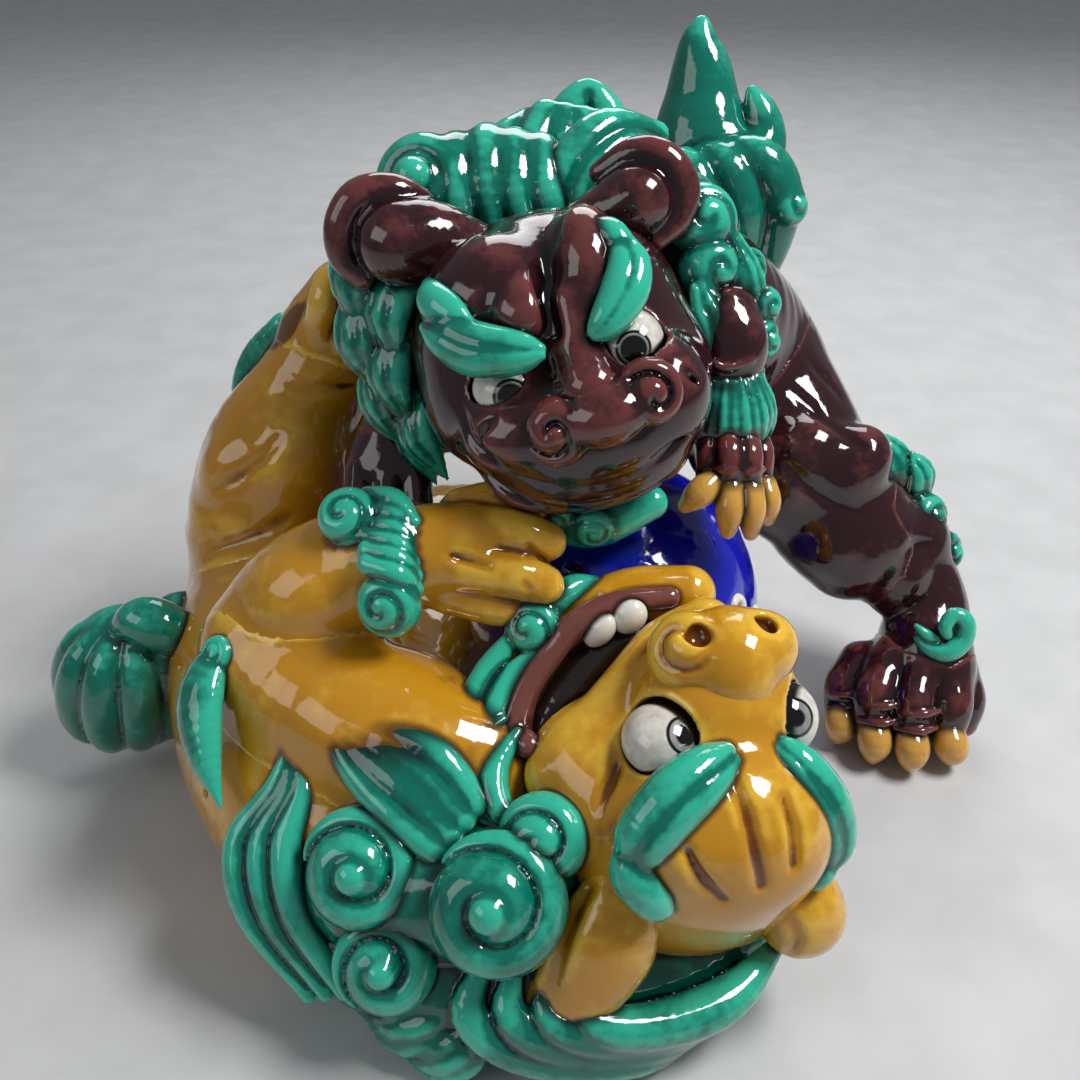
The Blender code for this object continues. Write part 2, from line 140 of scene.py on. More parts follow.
class Roll(Shape):
    """A tapered roll through stations of (x, y, z, radius).

    face makes it a lock of hair: flat times as thick along face as it is wide, with ridges combed
    along its length and depth millimetres of groove between them.
    """

    def __init__(self, stations, face=None, flat=1.0, ridges=0, depth=0.0, samples=5):
        path = smooth_path(stations, samples)
        path[:, 3] = np.maximum(path[:, 3], 0.3)
        self.path = path
        self.face = None if face is None else unit(face)
        self.flat = flat
        self.ridges = ridges
        self.depth = depth
        self.low = (path[:, :3] - path[:, 3:]).min(0)
        self.high = (path[:, :3] + path[:, 3:]).max(0)

    def distance(self, x, y, z):
        best = None
        for a, b in zip(self.path[:-1], self.path[1:]):
            along = b[:3] - a[:3]
            length2 = float(along @ along) + 1e-9
            px, py, pz = x - a[0], y - a[1], z - a[2]
            t = np.clip((px * along[0] + py * along[1] + pz * along[2]) / length2, 0.0, 1.0)
            qx, qy, qz = px - t * along[0], py - t * along[1], pz - t * along[2]
            radius = a[3] + t * (b[3] - a[3])
            squared = qx * qx + qy * qy + qz * qz
            if self.face is None:
                d = np.sqrt(squared) - radius
            else:
                side = np.cross(self.face, along)
                side = side / (np.linalg.norm(side) + 1e-9)
                up = np.cross(along, side)
                up = up / (np.linalg.norm(up) + 1e-9)
                lift = (qx * up[0] + qy * up[1] + qz * up[2]) / self.flat
                across = qx * side[0] + qy * side[1] + qz * side[2]
                rest = np.maximum(squared - (lift * self.flat) ** 2 - across * across, 0.0)
                d = (np.sqrt(lift * lift + across * across + rest) - radius) * (0.5 + 0.5 * self.flat)
                if self.ridges:
                    comb = np.abs(np.sin(np.pi * self.ridges * 0.5 * (across / radius + 1.0)))
                    d = d + self.depth * (1.0 - comb ** 0.7) * np.clip(radius / 3.0, 0.0, 1.0)
            best = d if best is None else np.minimum(best, d)
        return best


class Curl(Shape):
    """A domed disc with a spiral groove, like a snail shell, facing along normal."""

    def __init__(self, centre, normal, radius, height, turns=1.8, spin=1, start=0.0, depth=1.6):
        self.centre = np.array(centre, float)
        self.w = unit(normal)
        helper = (0, 0, 1) if abs(self.w[2]) < 0.9 else (0, 1, 0)
        self.u = unit(np.cross(helper, self.w))
        self.v = np.cross(self.w, self.u)
        self.radius = radius
        self.height = height
        self.turns = turns
        self.spin = spin
        self.start = start
        self.depth = depth
        self.low = self.centre - radius
        self.high = self.centre + radius

    def distance(self, x, y, z):
        dx, dy, dz = x - self.centre[0], y - self.centre[1], z - self.centre[2]
        pu = dx * self.u[0] + dy * self.u[1] + dz * self.u[2]
        pv = dx * self.v[0] + dy * self.v[1] + dz * self.v[2]
        pw = dx * self.w[0] + dy * self.w[1] + dz * self.w[2]
        flat2 = pu * pu + pv * pv
        near = np.sqrt(flat2 / self.radius ** 2 + (pw / self.height) ** 2)
        steep = np.sqrt(flat2 / self.radius ** 4 + pw * pw / self.height ** 4)
        d = near * (near - 1.0) / np.maximum(steep, 1e-6)
        out = np.sqrt(flat2) / self.radius
        phase = self.turns * out + self.spin * np.arctan2(pv, pu) / (2 * np.pi) + self.start
        ridge = np.abs(np.sin(np.pi * phase)) ** 0.55
        fade = np.clip(out * 6.0, 0.0, 1.0)
        return d + self.depth * (1.0 - ridge) * fade


# ---------------------------------------------------------------- from clay to mesh
class Grid:
    """A box of voxels in the landmarks' millimetres."""

    def __init__(self, low, high, step):
        self.step = step
        self.low = np.floor(np.asarray(low) / step) * step
        count = np.ceil((np.asarray(high) - self.low) / step).astype(int) + 1
        self.axes = [self.low[i] + step * np.arange(count[i], dtype=np.float32) for i in range(3)]
        self.shape = tuple(count)

    def window(self, shape):
        """The part of the grid near a shape, or None where they don't meet."""
        slices = []
        for axis, low, high in zip(self.axes, shape.low - MARGIN, shape.high + MARGIN):
            first = int(np.searchsorted(axis, low))
            last = int(np.searchsorted(axis, high))
            if last <= first:
                return None
            slices.append(slice(first, last))
        return tuple(slices)

    def points(self, window):
        x, y, z = (axis[part] for axis, part in zip(self.axes, window))
        return (x[:, None, None].astype(np.float32), y[None, :, None].astype(np.float32),
                z[None, None, :].astype(np.float32))


def lay(field, grid, shapes, blend):
    """Adds and carves shapes into a field, in their order."""
    for shape in shapes:
        window = grid.window(shape)
        if window is None:
            continue
        d = shape.distance(*grid.points(window)).astype(np.float32)
        if shape.mode == "add":
            field[window] = smooth_min(field[window], d, min(shape.blend, blend) if blend else shape.blend)
        else:
            field[window] = smooth_max(field[window], -d, shape.blend)
    return field


def box_of(shapes):
    low = np.min([s.low for s in shapes if s.mode == "add"], axis=0)
    high = np.max([s.high for s in shapes if s.mode == "add"], axis=0)
    return low, high


def rest_on_table(field, grid):
    """Cuts the clay flat at the table."""
    z = grid.axes[2][None, None, :]
    return np.maximum(field, TABLE_TOP - z)


def biggest_shell(points, quads):
    """Keeps the largest connected surface."""
    label = np.arange(len(points))
    ends = np.concatenate([quads[:, [0, 1]], quads[:, [1, 2]], quads[:, [2, 3]], quads[:, [3, 0]]])
    while True:
        low = np.minimum(label[ends[:, 0]], label[ends[:, 1]])
        new = label.copy()
        np.minimum.at(new, ends[:, 0], low)
        np.minimum.at(new, ends[:, 1], low)
        new = new[new]
        if np.array_equal(new, label):
            break
        label = new
    keep = np.bincount(label).argmax()
    kept_points = label == keep
    renumber = np.cumsum(kept_points) - 1
    kept_quads = quads[kept_points[quads[:, 0]]]
    return points[kept_points], renumber[kept_quads]


def neighbour_means(quads, count):
    """A function that averages each vertex's neighbours."""
    ends = np.concatenate([quads[:, [0, 1]], quads[:, [1, 2]], quads[:, [2, 3]], quads[:, [3, 0]]])
    ends = np.concatenate([ends, ends[:, ::-1]])
    order = np.maximum(np.bincount(ends[:, 0], minlength=count), 1)

    def mean(values):
        return np.stack([np.bincount(ends[:, 0], weights=values[ends[:, 1], i], minlength=count) / order
                         for i in range(values.shape[1])], axis=1)
    return mean


def softened(values, mean, rounds):
    """Values on the vertices, spread over their neighbours so that the voxels don't show in them."""
    values = values[:, None]
    for _ in range(rounds):
        values = mean(values)
    return values[:, 0]


def store(mesh, name, values):
    attribute = mesh.attributes.new(name, "FLOAT", "POINT")
    attribute.data.foreach_set("value", np.asarray(values, np.float32))


def mesh_of(points, quads, name):
    mesh = bpy.data.meshes.new(name)
    mesh.vertices.add(len(points))
    mesh.vertices.foreach_set("co", ((points + ORIGIN) * MM).astype(np.float32).ravel())
    mesh.loops.add(quads.size)
    mesh.loops.foreach_set("vertex_index", quads.astype(np.int32).ravel())
    mesh.polygons.add(len(quads))
    mesh.polygons.foreach_set("loop_start", np.arange(0, quads.size, 4, dtype=np.int32))
    mesh.update(calc_edges=True)
    mesh.polygons.foreach_set("use_smooth", np.ones(len(quads), bool))
    mesh.validate()
    return mesh


def measure_relief(mesh, points, mean, step):
    """Stores how far each vertex lies under the smoothed surface: finely in grooves, broadly in hollows."""
    normals = np.empty(len(points) * 3, np.float32)
    mesh.vertex_normals.foreach_get("vector", normals)
    normals = normals.reshape(-1, 3)
    scale = max(1, int(SMOOTHING_AREA / step ** 2))
    drawn = points
    for attribute, rounds, softening in RELIEF:
        for _ in range(rounds * scale):
            drawn = mean(drawn)
        store(mesh, attribute, softened(np.sum((drawn - points) * normals, axis=1), mean, softening))


def surface(field, grid, name):
    """The zero surface of a field as an object, with its grooves and hollows measured."""
    volume = openvdb.FloatGrid(background=FAR)
    padded = np.full([n + 2 for n in field.shape], FAR, np.float32)
    padded[1:-1, 1:-1, 1:-1] = field
    volume.copyFromArray(padded)
    points, quads = volume.convertToQuads(isovalue=0.0)
    if len(quads) == 0:
        raise ValueError(name + " has no surface")
    points = (points.astype(float) - 1) * grid.step + grid.low
    points, quads = biggest_shell(points, quads.astype(np.int64))
    mean = neighbour_means(quads, len(points))
    for pull in EVENING_PULLS:
        points = points + pull * (mean(points) - points)
    mesh = mesh_of(points, quads, name)
    measure_relief(mesh, points, mean, grid.step)
    item = bpy.data.objects.new(name, mesh)
    bpy.context.collection.objects.link(item)
    return item


# ---------------------------------------------------------------- the register of pieces
MADE = []       # (object, group, shapes) of every piece, from which the seams are measured


def enrol(item, group, shapes, glaze, nodes):
    MADE.append((item, group, shapes))
    item.data.materials.append(glaze)
    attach(item, "root")
    if nodes:
        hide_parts(*nodes)


def sculpt(name, shapes, glaze, step, blend=3.0, nodes=(), group=None, table=False):
    """One free-standing piece: all its shapes fused."""
    step = step * COARSER
    low, high = box_of(shapes)
    grid = Grid(low - 2 * step, high + 2 * step, step)
    field = lay(np.full(grid.shape, FAR, np.float32), grid, shapes, blend)
    if table:
        field = rest_on_table(field, grid)
    enrol(surface(field, grid, name), group or name, shapes, glaze, nodes)


def sculpt_body(group, glaze, parts):
    """The pieces of one body, fused to each other and parted again where one meets the next.

    parts is a list of (name, nodes, shapes, step, rank); a higher rank lies further under its neighbours.
    """
    for name, nodes, shapes, step, rank in parts:
        step = step * COARSER
        low, high = box_of(shapes)
        grid = Grid(low - 3 * step, high + 3 * step, step)
        own = lay(np.full(grid.shape, FAR, np.float32), grid, shapes, 0)
        whole = own.copy()
        others = np.full(grid.shape, FAR, np.float32)
        for other_name, _, other_shapes, _, _ in parts:
            if other_name == name:
                continue
            other_low, other_high = box_of(other_shapes)
            if np.any(other_low - MARGIN > grid.low + np.array(grid.shape) * step):
                continue
            if np.any(other_high + MARGIN < grid.low):
                continue
            other = lay(np.full(grid.shape, FAR, np.float32), grid, other_shapes, 0)
            whole = smooth_min(whole, other, BODY_BLEND)
            others = np.minimum(others, other)
        whole = rest_on_table(whole, grid)
        parting = (own - others) * 0.5 - OVERLAP
        field = np.maximum(whole + INSET * rank, parting)
        enrol(surface(field, grid, name), group, shapes, glaze, nodes)


def measure_seams():
    """Marks how near each vertex is to clay of another group, where the glaze is painted dark: partly dark
    glaze pooled in the joints, partly painted shade between the parts.
    """
    for item, group, _ in MADE:
        mesh = item.data
        co = np.empty(len(mesh.vertices) * 3, np.float32)
        mesh.vertices.foreach_get("co", co)
        points = co.reshape(-1, 3) / MM - ORIGIN
        low, high = points.min(0), points.max(0)
        nearest = np.full(len(points), FAR)
        for _, other_group, shapes in MADE:
            if other_group == group:
                continue
            for shape in shapes:
                near_low, near_high = shape.low - SEAM_REACH, shape.high + SEAM_REACH
                if shape.mode != "add" or np.any(near_low > high) or np.any(near_high < low):
                    continue
                inside = np.all((points > near_low) & (points < near_high), axis=1)
                if inside.any():
                    p = points[inside]
                    nearest[inside] = np.minimum(nearest[inside], shape.distance(p[:, 0], p[:, 1], p[:, 2]))
        store(mesh, "seam", nearest)


# ---------------------------------------------------------------- glazes
class Tree:
    """A small helper to write shader node trees in few lines."""

    def __init__(self, name):
        self.material = bpy.data.materials.new(name)
        self.material.use_nodes = True
        self.nodes = self.material.node_tree.nodes
        self.links = self.material.node_tree.links
        self.shader = self.nodes["Principled BSDF"]
        self.place = self.nodes.new("ShaderNodeTexCoord").outputs["Object"]

    def attribute(self, name):
        node = self.nodes.new("ShaderNodeAttribute")
        node.attribute_name = name
        return node.outputs["Fac"]

    def noise(self, scale, detail=3.0):
        node = self.nodes.new("ShaderNodeTexNoise")
        node.inputs["Scale"].default_value = scale
        node.inputs["Detail"].default_value = detail
        node.inputs["Roughness"].default_value = 0.55
        self.links.new(self.place, node.inputs["Vector"])
        return node.outputs["Fac"]

    def math(self, kind, a, b=None, c=None):
        node = self.nodes.new("ShaderNodeMath")
        node.operation = kind
        for socket, value in zip(node.inputs, (a, b, c)):
            if value is None:
                continue
            if isinstance(value, (int, float)):
                socket.default_value = value
            else:
                self.links.new(value, socket)
        return node.outputs[0]

    def span(self, value, low, high, to_low=0.0, to_high=1.0):
        node = self.nodes.new("ShaderNodeMapRange")
        node.interpolation_type = "SMOOTHSTEP"
        for socket, number in zip(list(node.inputs)[1:5], (low, high, to_low, to_high)):
            socket.default_value = number
        self.links.new(value, node.inputs["Value"])
        return node.outputs["Result"]

    def mix(self, amount, a, b):
        node = self.nodes.new("ShaderNodeMix")
        node.data_type = "RGBA"
        for socket, value in ((node.inputs[0], amount), (node.inputs[6], a), (node.inputs[7], b)):
            if isinstance(value, tuple):
                socket.default_value = (*value, 1)
            elif isinstance(value, (int, float)):
                socket.default_value = value
            else:
                self.links.new(value, socket)
        return node.outputs[2]

    def ramp(self, value, stops):
        node = self.nodes.new("ShaderNodeValToRGB")
        node.color_ramp.interpolation = "EASE"
        elements = node.color_ramp.elements
        elements[0].position, elements[0].color = stops[0][0], (*stops[0][1], 1)
        elements[1].position, elements[1].color = stops[-1][0], (*stops[-1][1], 1)
        for position, colour in stops[1:-1]:
            elements.new(position).color = (*colour, 1)
        self.links.new(value, node.inputs["Fac"])
        return node.outputs["Color"]

    def upward(self):
        """How far the surface faces up, from -1 to 1: what hangs down is painted darker, partly as running
        glaze gathering there and partly as painted shade under light from above.
        """
        geometry = self.nodes.new("ShaderNodeNewGeometry")
        split = self.nodes.new("ShaderNodeSeparateXYZ")
        self.links.new(geometry.outputs["Normal"], split.inputs[0])
        return split.outputs["Z"]

    def distance_to(self, point):
        """Distance in metres from a landmark."""
        node = self.nodes.new("ShaderNodeVectorMath")
        node.operation = "DISTANCE"
        node.inputs[1].default_value = Vector((np.array(point) + ORIGIN) * MM)
        self.links.new(self.place, node.inputs[0])
        return node.outputs["Value"]

    def bump(self, height, distance, strength=1.0):
        node = self.nodes.new("ShaderNodeBump")
        node.inputs["Strength"].default_value = strength
        node.inputs["Distance"].default_value = distance
        self.links.new(height, node.inputs["Height"])
        self.links.new(node.outputs["Normal"], self.shader.inputs["Normal"])

    def finish(self, colour, roughness=0.1, coat=0.6):
        self.links.new(colour, self.shader.inputs["Base Color"])
        if isinstance(roughness, float):
            self.shader.inputs["Roughness"].default_value = roughness
        else:
            self.links.new(roughness, self.shader.inputs["Roughness"])
        self.shader.inputs["Coat Weight"].default_value = coat
        self.shader.inputs["Coat Roughness"].default_value = 0.03
        self.shader.inputs["IOR"].default_value = 1.52
        return self.material


def glaze(name, pooled_and_shaded, body, thin_and_lit, ink_and_shade, *, ink_and_shade_at, mottle, scale, reach=1.7):
    """A running lead glaze: dark where it pools, pale where it breaks over ridges; the darkening in grooves
    and hollows is also painted shade.

    ink is painted in grooves deeper than ink_and_shade_at and within reach millimetres of other clay: partly
    the dark glaze gathered in deep creases and joints, partly painted shade there.
    """
    tree = Tree(name)
    groove = tree.attribute("groove")
    hollow = tree.attribute("hollow")
    seam = tree.attribute("seam")
    broad = tree.noise(scale, 4.0)
    fine = tree.noise(scale * 6, 3.0)
    # Painted darker in grooves and hollows and paler on ridges: the glaze pooling and breaking thin, and also
    # painted shade in the grooves and hollows.
    lift = tree.math("MULTIPLY_ADD", groove, -2.0, 0.44)
    lift = tree.math("MULTIPLY_ADD", hollow, -0.22, lift)
    drift = tree.math("SUBTRACT", broad, 0.5)
    lift = tree.math("MULTIPLY_ADD", drift, mottle * 2.2, lift)
    speck = tree.math("SUBTRACT", fine, 0.5)
    lift = tree.math("MULTIPLY_ADD", speck, mottle * 0.7, lift)
    # Painted shade and light: what faces down darker and what faces up paler, partly as glaze running down,
    # partly as light falling from above.
    lift = tree.math("MULTIPLY_ADD", tree.upward(), 0.10, lift)
    colour = tree.ramp(lift, ((0.0, pooled_and_shaded), (0.42, body), (0.62, body), (1.0, thin_and_lit)))
    # Near-black within reach of other clay and in deep grooves: dark glaze in joints and creases, and also
    # painted shade there.
    seam_ink_and_shade = tree.span(seam, 0.1, reach, 1.0, 0.0)
    cut = tree.span(groove, ink_and_shade_at, ink_and_shade_at * 2.4, 0.0, 1.0)
    dark = tree.math("MAXIMUM", seam_ink_and_shade, cut)
    dark = tree.math("MULTIPLY", dark, 0.9)
    colour = tree.mix(dark, colour, ink_and_shade)
    ripple = tree.noise(170.0, 2.0)
    tree.bump(ripple, 0.00035, 0.5)
    roughness = tree.span(fine, 0.3, 0.8, 0.06, 0.16)
    return tree.finish(colour, roughness)


# Each glaze: its pooled colour (also painted shade), body colour, thin colour (also painted light on what
# faces up), and the near-black of deep creases and joints (also painted shade).
PLUM = glaze("aubergine_glaze", (0.005, 0.001, 0.002), (0.030, 0.006, 0.008), (0.150, 0.036, 0.034),
             (0.002, 0.001, 0.001), ink_and_shade_at=0.30, mottle=0.45, scale=80.0)
AMBER = glaze("amber_glaze", (0.170, 0.050, 0.003), (0.600, 0.275, 0.012), (0.850, 0.500, 0.045),
              (0.110, 0.034, 0.003), ink_and_shade_at=0.70, mottle=0.62, scale=36.0)
JADE = glaze("jade_glaze", (0.000, 0.024, 0.020), (0.000, 0.175, 0.118), (0.035, 0.520, 0.350),
             (0.001, 0.012, 0.010), ink_and_shade_at=0.24, mottle=0.40, scale=60.0, reach=2.6)
COBALT = glaze("cobalt_glaze", (0.002, 0.002, 0.090), (0.004, 0.010, 0.440), (0.025, 0.050, 0.680),
               (0.001, 0.001, 0.030), ink_and_shade_at=0.50, mottle=0.30, scale=60.0)
LIP = glaze("lip_glaze", (0.020, 0.005, 0.005), (0.080, 0.018, 0.016), (0.190, 0.060, 0.050),
            (0.008, 0.002, 0.002), ink_and_shade_at=0.40, mottle=0.30, scale=90.0)
MOUTH = glaze("mouth_glaze", (0.004, 0.003, 0.002), (0.010, 0.006, 0.005), (0.024, 0.014, 0.010),
              (0.002, 0.001, 0.001), ink_and_shade_at=0.50, mottle=0.30, scale=90.0)
CREAM = glaze("cream_glaze", (0.420, 0.340, 0.230), (0.720, 0.660, 0.550), (0.850, 0.820, 0.740),
              (0.020, 0.012, 0.010), ink_and_shade_at=0.60, mottle=0.12, scale=60.0)
HORN = glaze("claw_glaze", (0.060, 0.018, 0.003), (0.360, 0.140, 0.015), (0.680, 0.360, 0.070),
             (0.010, 0.004, 0.002), ink_and_shade_at=0.36, mottle=0.75, scale=120.0, reach=2.6)


def eye_glaze(name, pupil, iris_radius, pupil_radius):
    """A cream eye with a black-rimmed grey iris and a black pupil, painted round a landmark."""
    tree = Tree(name)
    away = tree.distance_to(pupil)
    mottle = tree.noise(300.0, 2.0)
    white = tree.ramp(mottle, ((0.2, (0.60, 0.55, 0.47)), (0.8, (0.82, 0.80, 0.74))))
    grey = tree.ramp(mottle, ((0.2, (0.20, 0.20, 0.19)), (0.8, (0.42, 0.42, 0.40))))
    in_iris = tree.span(away, iris_radius * MM, (iris_radius - 0.5) * MM)
    in_rim = tree.span(away, (iris_radius - 0.9) * MM, (iris_radius - 1.3) * MM, 1.0, 0.0)
    in_pupil = tree.span(away, (pupil_radius + 0.3) * MM, (pupil_radius - 0.3) * MM)
    inner = tree.mix(in_rim, grey, (0.004, 0.004, 0.004))
    inner = tree.mix(in_pupil, inner, (0.003, 0.003, 0.003))
    colour = tree.mix(in_iris, white, inner)
    seam = tree.span(tree.attribute("seam"), 0.3, 1.5, 1.0, 0.0)
    colour = tree.mix(seam, colour, (0.004, 0.003, 0.003))
    tree.bump(tree.noise(200.0, 2.0), 0.0002, 0.4)
    return tree.finish(colour, 0.07)


# ---------------------------------------------------------------- ways of laying clay
def fan(first, last, count, blend=0.8):
    """Ribs laid side by side, from one path of stations to another."""
    first = np.array(first, float)
    last = np.array(last, float)
    return [Roll(first + (last - first) * i / (count - 1)).soft(blend) for i in range(count)]


def rolls(blend, *paths):
    """Plain rolls of one softness, such as the toes of a paw."""
    return [Roll(path).soft(blend) for path in paths]


def leaf(root, middle, tip, width, face, depth=1.1):
    """A pointed lock of hair."""
    return Roll([(*root, width * 0.55), (*middle, width), (*tip, 0.5)], face=face, flat=0.6,
                ridges=3, depth=depth).soft(0.6)


def crease(*stations, soft=2.0):
    """A groove pressed into the clay along stations of (x, y, z, radius)."""
    return Roll(stations, samples=4).carved(soft)


def claw(root, tip, radius):
    """A blunt curved claw."""
    root = np.array(root, float)
    tip = np.array(tip, float)
    bow = (root + tip) / 2 + np.array((0.0, -1.5, 1.0))
    return Roll([(*root, radius), (*bow, radius), (*tip, radius * 0.55)])


def claws(name, pairs, radius):
    """The claws of one paw, a piece for each."""
    for i, (root, tip) in enumerate(pairs):
        sculpt("%s_%d" % (name, i + 1), [claw(root, tip, radius)], HORN, 0.5)


# ---------------------------------------------------------------- the ball
def make_ball():
    at = BALL_AT
    shapes = [Lump(at, BALL_RADIUS)]
    shapes.append(Lump(at, BALL_RADIUS - 4.5).carved(0.5))
    holes = (((0.93, -0.36, 0.08), 4.6), ((0.80, -0.55, 0.34), 3.0), ((-0.3, -0.66, 0.70), 3.0),
             ((0.2, 0.95, -0.1), 5.0), ((-0.9, 0.3, 0.1), 5.0), ((0.55, 0.6, 0.5), 4.0))
    for direction, radius in holes:
        shapes.append(Lump(at + unit(direction) * BALL_RADIUS, radius).carved(0.8))
    for direction in ((0.42, -0.72, 0.55), (0.52, -0.42, 0.74), (0.12, -0.70, 0.70), (0.2, -0.9, 0.3),
                      (0.7, -0.7, 0.0), (0.8, 0.1, 0.6), (-0.1, 0.9, 0.4), (0.5, 0.85, 0.1)):
        tip = at + unit(direction) * (BALL_RADIUS - 0.7)
        shapes.append(Curl(tip, direction, 6, 1.6, turns=2.0, depth=0.8).soft(0.6))
    sculpt("pierced_ball", shapes, COBALT, 0.9, 1.0, nodes=("ball_shell",))
    for i, (direction, radius) in enumerate(holes[:2]):
        around = unit(np.cross(direction, (0, 0, 1)))
        above = np.cross(unit(direction), around)
        ring = []
        for turn in np.linspace(0, 2 * np.pi, 13):
            across = (around * math.cos(turn) + above * math.sin(turn)) * radius
            ring.append((*(at + unit(direction) * (BALL_RADIUS - 0.6) + across), 1.6))
        sculpt("ball_hole_rim_%d" % (i + 1), [Roll(ring)], CREAM, 0.5, group="pierced_ball")


# ---------------------------------------------------------------- the aubergine lion
def make_plum_body():
    parts = [
        ("aubergine_torso", ("plum_torso",), [
            Roll([(12, 38, 142, 30), (38, 56, 142, 36), (62, 78, 122, 34), (74, 90, 108, 31)]),
            Lump((28, 54, 150), (38, 32, 36)).soft(8),
            crease((34, 60, 186, 1), (50, 76, 172, 1.4), (62, 92, 158, 1), soft=4),
        ], 1.2, 2),
        ("aubergine_left_upper_foreleg", ("plum_left_upper_foreleg",), [
            Roll([(50, 36, 150, 18), (52, 20, 157, 14), (53, 5, 160, 11.5), (54, -2, 151, 10.5),
                  (54, -4, 141, 9.5)]),
            Lump((58, -2, 154), (8, 8, 10)).soft(4),
            *rolls(2, [(46, -12, 156, 0.8), (52, -13.5, 153, 1.4), (60, -11, 154, 0.8)],
                   [(46, -11, 149, 0.8), (52, -13.5, 147, 1.4), (60, -11, 148, 0.8)]),
        ], 0.8, 1),
        ("aubergine_left_forepaw", ("plum_left_forepaw",), [
            Lump((55, -12, 126), (11.5, 12, 11)),
            *rolls(1.0, [(49, -13, 132, 3.8), (48.5, -21, 130, 4.1), (48.5, -25, 124, 3.8)],
                   [(54, -15, 133, 4.0), (53.8, -24, 131, 4.5), (53.8, -27, 124, 4.2)],
                   [(59.5, -14, 132, 4.0), (59.5, -23, 130, 4.4), (59.5, -26, 123, 4.1)],
                   [(64, -10, 129, 3.6), (64.5, -17, 127, 3.9), (64.5, -20, 120, 3.6)]),
            *rolls(0.5, [(48, -26, 128, 1), (53, -29.5, 128.5, 1.3), (57, -28, 128.5, 1)],
                   [(56, -28, 127.5, 1), (60, -28.5, 127.5, 1.3), (64, -25, 126.5, 1)]),
        ], 0.55, 0),
        ("aubergine_right_upper_foreleg", ("plum_right_upper_foreleg",), [
            Roll([(-20, 34, 138, 19), (-34, 22, 128, 16), (-44, 10, 120, 13)]),
        ], 1.0, 1),
        ("aubergine_right_forepaw", ("plum_right_forepaw",), [
            Lump((-46, 3, 113), (15, 13, 11)),
            *rolls(1.2, [(-55, -3, 114, 5), (-55, -11, 108, 4.5)],
                   [(-46, -5, 114, 5), (-46, -14, 107, 4.5)],
                   [(-38, -4, 114, 5), (-37, -12, 107, 4.5)]),
        ], 0.8, 0),
        ("aubergine_left_thigh", ("plum_left_thigh",), [
            Roll([(80, 76, 106, 27), (90, 58, 91, 26.5), (103, 40, 72, 23), (111, 32, 62, 19)]),
            Lump((88, 36, 88), (20, 15, 24), (0, 30, 0)).soft(5),
            Lump((105, 36, 90), (14, 15, 20), (0, 35, 0)).soft(4),
            Lump((102, 28, 66), (13, 13, 12)).soft(4),
            crease((85, 47, 119, 0.6), (93, 42, 113, 1.5), (101, 34, 109, 1.5), (108, 28, 105, 0.6), soft=3),
            crease((83, 23.5, 100, 0.5), (91, 21, 93.5, 1.3), (101, 20, 87.5, 1.5), (111, 19, 82.5, 0.6),
                   soft=3),
            crease((90, 57, 128, 0.5), (98, 56, 120, 1.2), (105, 51, 113, 0.5), soft=3),
        ], 0.9, 1),
        ("aubergine_left_shank", ("plum_left_shank",), [
            Roll([(114, 38, 70, 20), (130, 38, 56, 17), (140, 28, 42, 15), (139, 16, 30, 17)]),
            Lump((134, 38, 62), (14, 15, 14)).soft(5),
            Lump((128, 24, 52), (10, 9, 14), (0, 20, 0)).soft(3),
            crease((121, 16, 67, 0.5), (130, 22, 69.5, 1.3), (138, 25, 68.5, 0.5), soft=3),
        ], 0.9, 2),
        ("aubergine_left_hind_paw", ("plum_left_hind_paw",), [
            Lump((132, 11, 16), (25, 18, 15)),
            *rolls(1.5, [(116, 14, 24, 8), (110, 7, 19, 7.5), (109, 4, 11, 6)],
                   [(123, 8, 27, 8), (118, -2, 22, 8), (117, -6, 13, 6.5)],
                   [(134, 5, 27, 8), (130, -6, 22, 8), (129, -10, 13, 6.5)],
                   [(146, 6, 25, 8), (144, -4, 20, 8), (143, -8, 12, 6.5)]),
            Roll([(152, 12, 20, 7), (153, 4, 15, 7), (152, 0, 8, 5.5)]).soft(2),
            *rolls(0.5, [(104, 2, 19, 1), (110, -1, 22, 1.5), (116, 2, 24, 1)],
                   [(103, 1, 15, 1), (109, -2, 17, 1.5), (114, -1, 19, 1)],
                   [(112, -6, 22, 1), (119, -10, 24, 1.6), (126, -8, 24, 1)],
                   [(111, -9, 17, 1), (118, -13, 19, 1.6), (125, -11, 19, 1)],
                   [(124, -11, 22, 1), (131, -14, 24, 1.6), (138, -11, 23, 1)],
                   [(123, -13, 17, 1), (130, -17, 19, 1.6), (137, -14, 18, 1)]),
        ], 0.65, 0),
        ("aubergine_right_hind_leg", ("plum_right_hind_leg",), [
            Roll([(50, 108, 98, 26), (40, 112, 80, 24), (32, 106, 62, 19), (28, 114, 40, 16),
                  (28, 110, 26, 16)]),
            crease((22, 92, 78, 1.5), (36, 88, 70, 2.2), (50, 92, 66, 1.5), soft=4),
        ], 1.2, 1),
        ("aubergine_right_hind_paw", ("plum_right_hind_paw",), [
            Lump((28, 104, 13), (20, 22, 15)),
            *rolls(1.5, [(16, 94, 18, 7), (14, 86, 12, 6.5), (14, 82, 7, 5)],
                   [(27, 92, 19, 7), (26, 84, 13, 7), (26, 80, 7, 5.5)],
                   [(38, 94, 18, 7), (39, 86, 12, 6.5), (39, 82, 7, 5)]),
        ], 1.0, 0),
    ]
    sculpt_body("plum_body", PLUM, parts)
    claws("aubergine_left_fore_claw", (((49.5, -27, 123.5), (41.5, -31, 118)), ((54.2, -29, 122),
                                                                                (54, -33, 110.5)),
                                       ((60, -28, 121), (61, -31.5, 109)), ((65, -22, 119),
                                                                            (67, -25, 110))), 4.3)
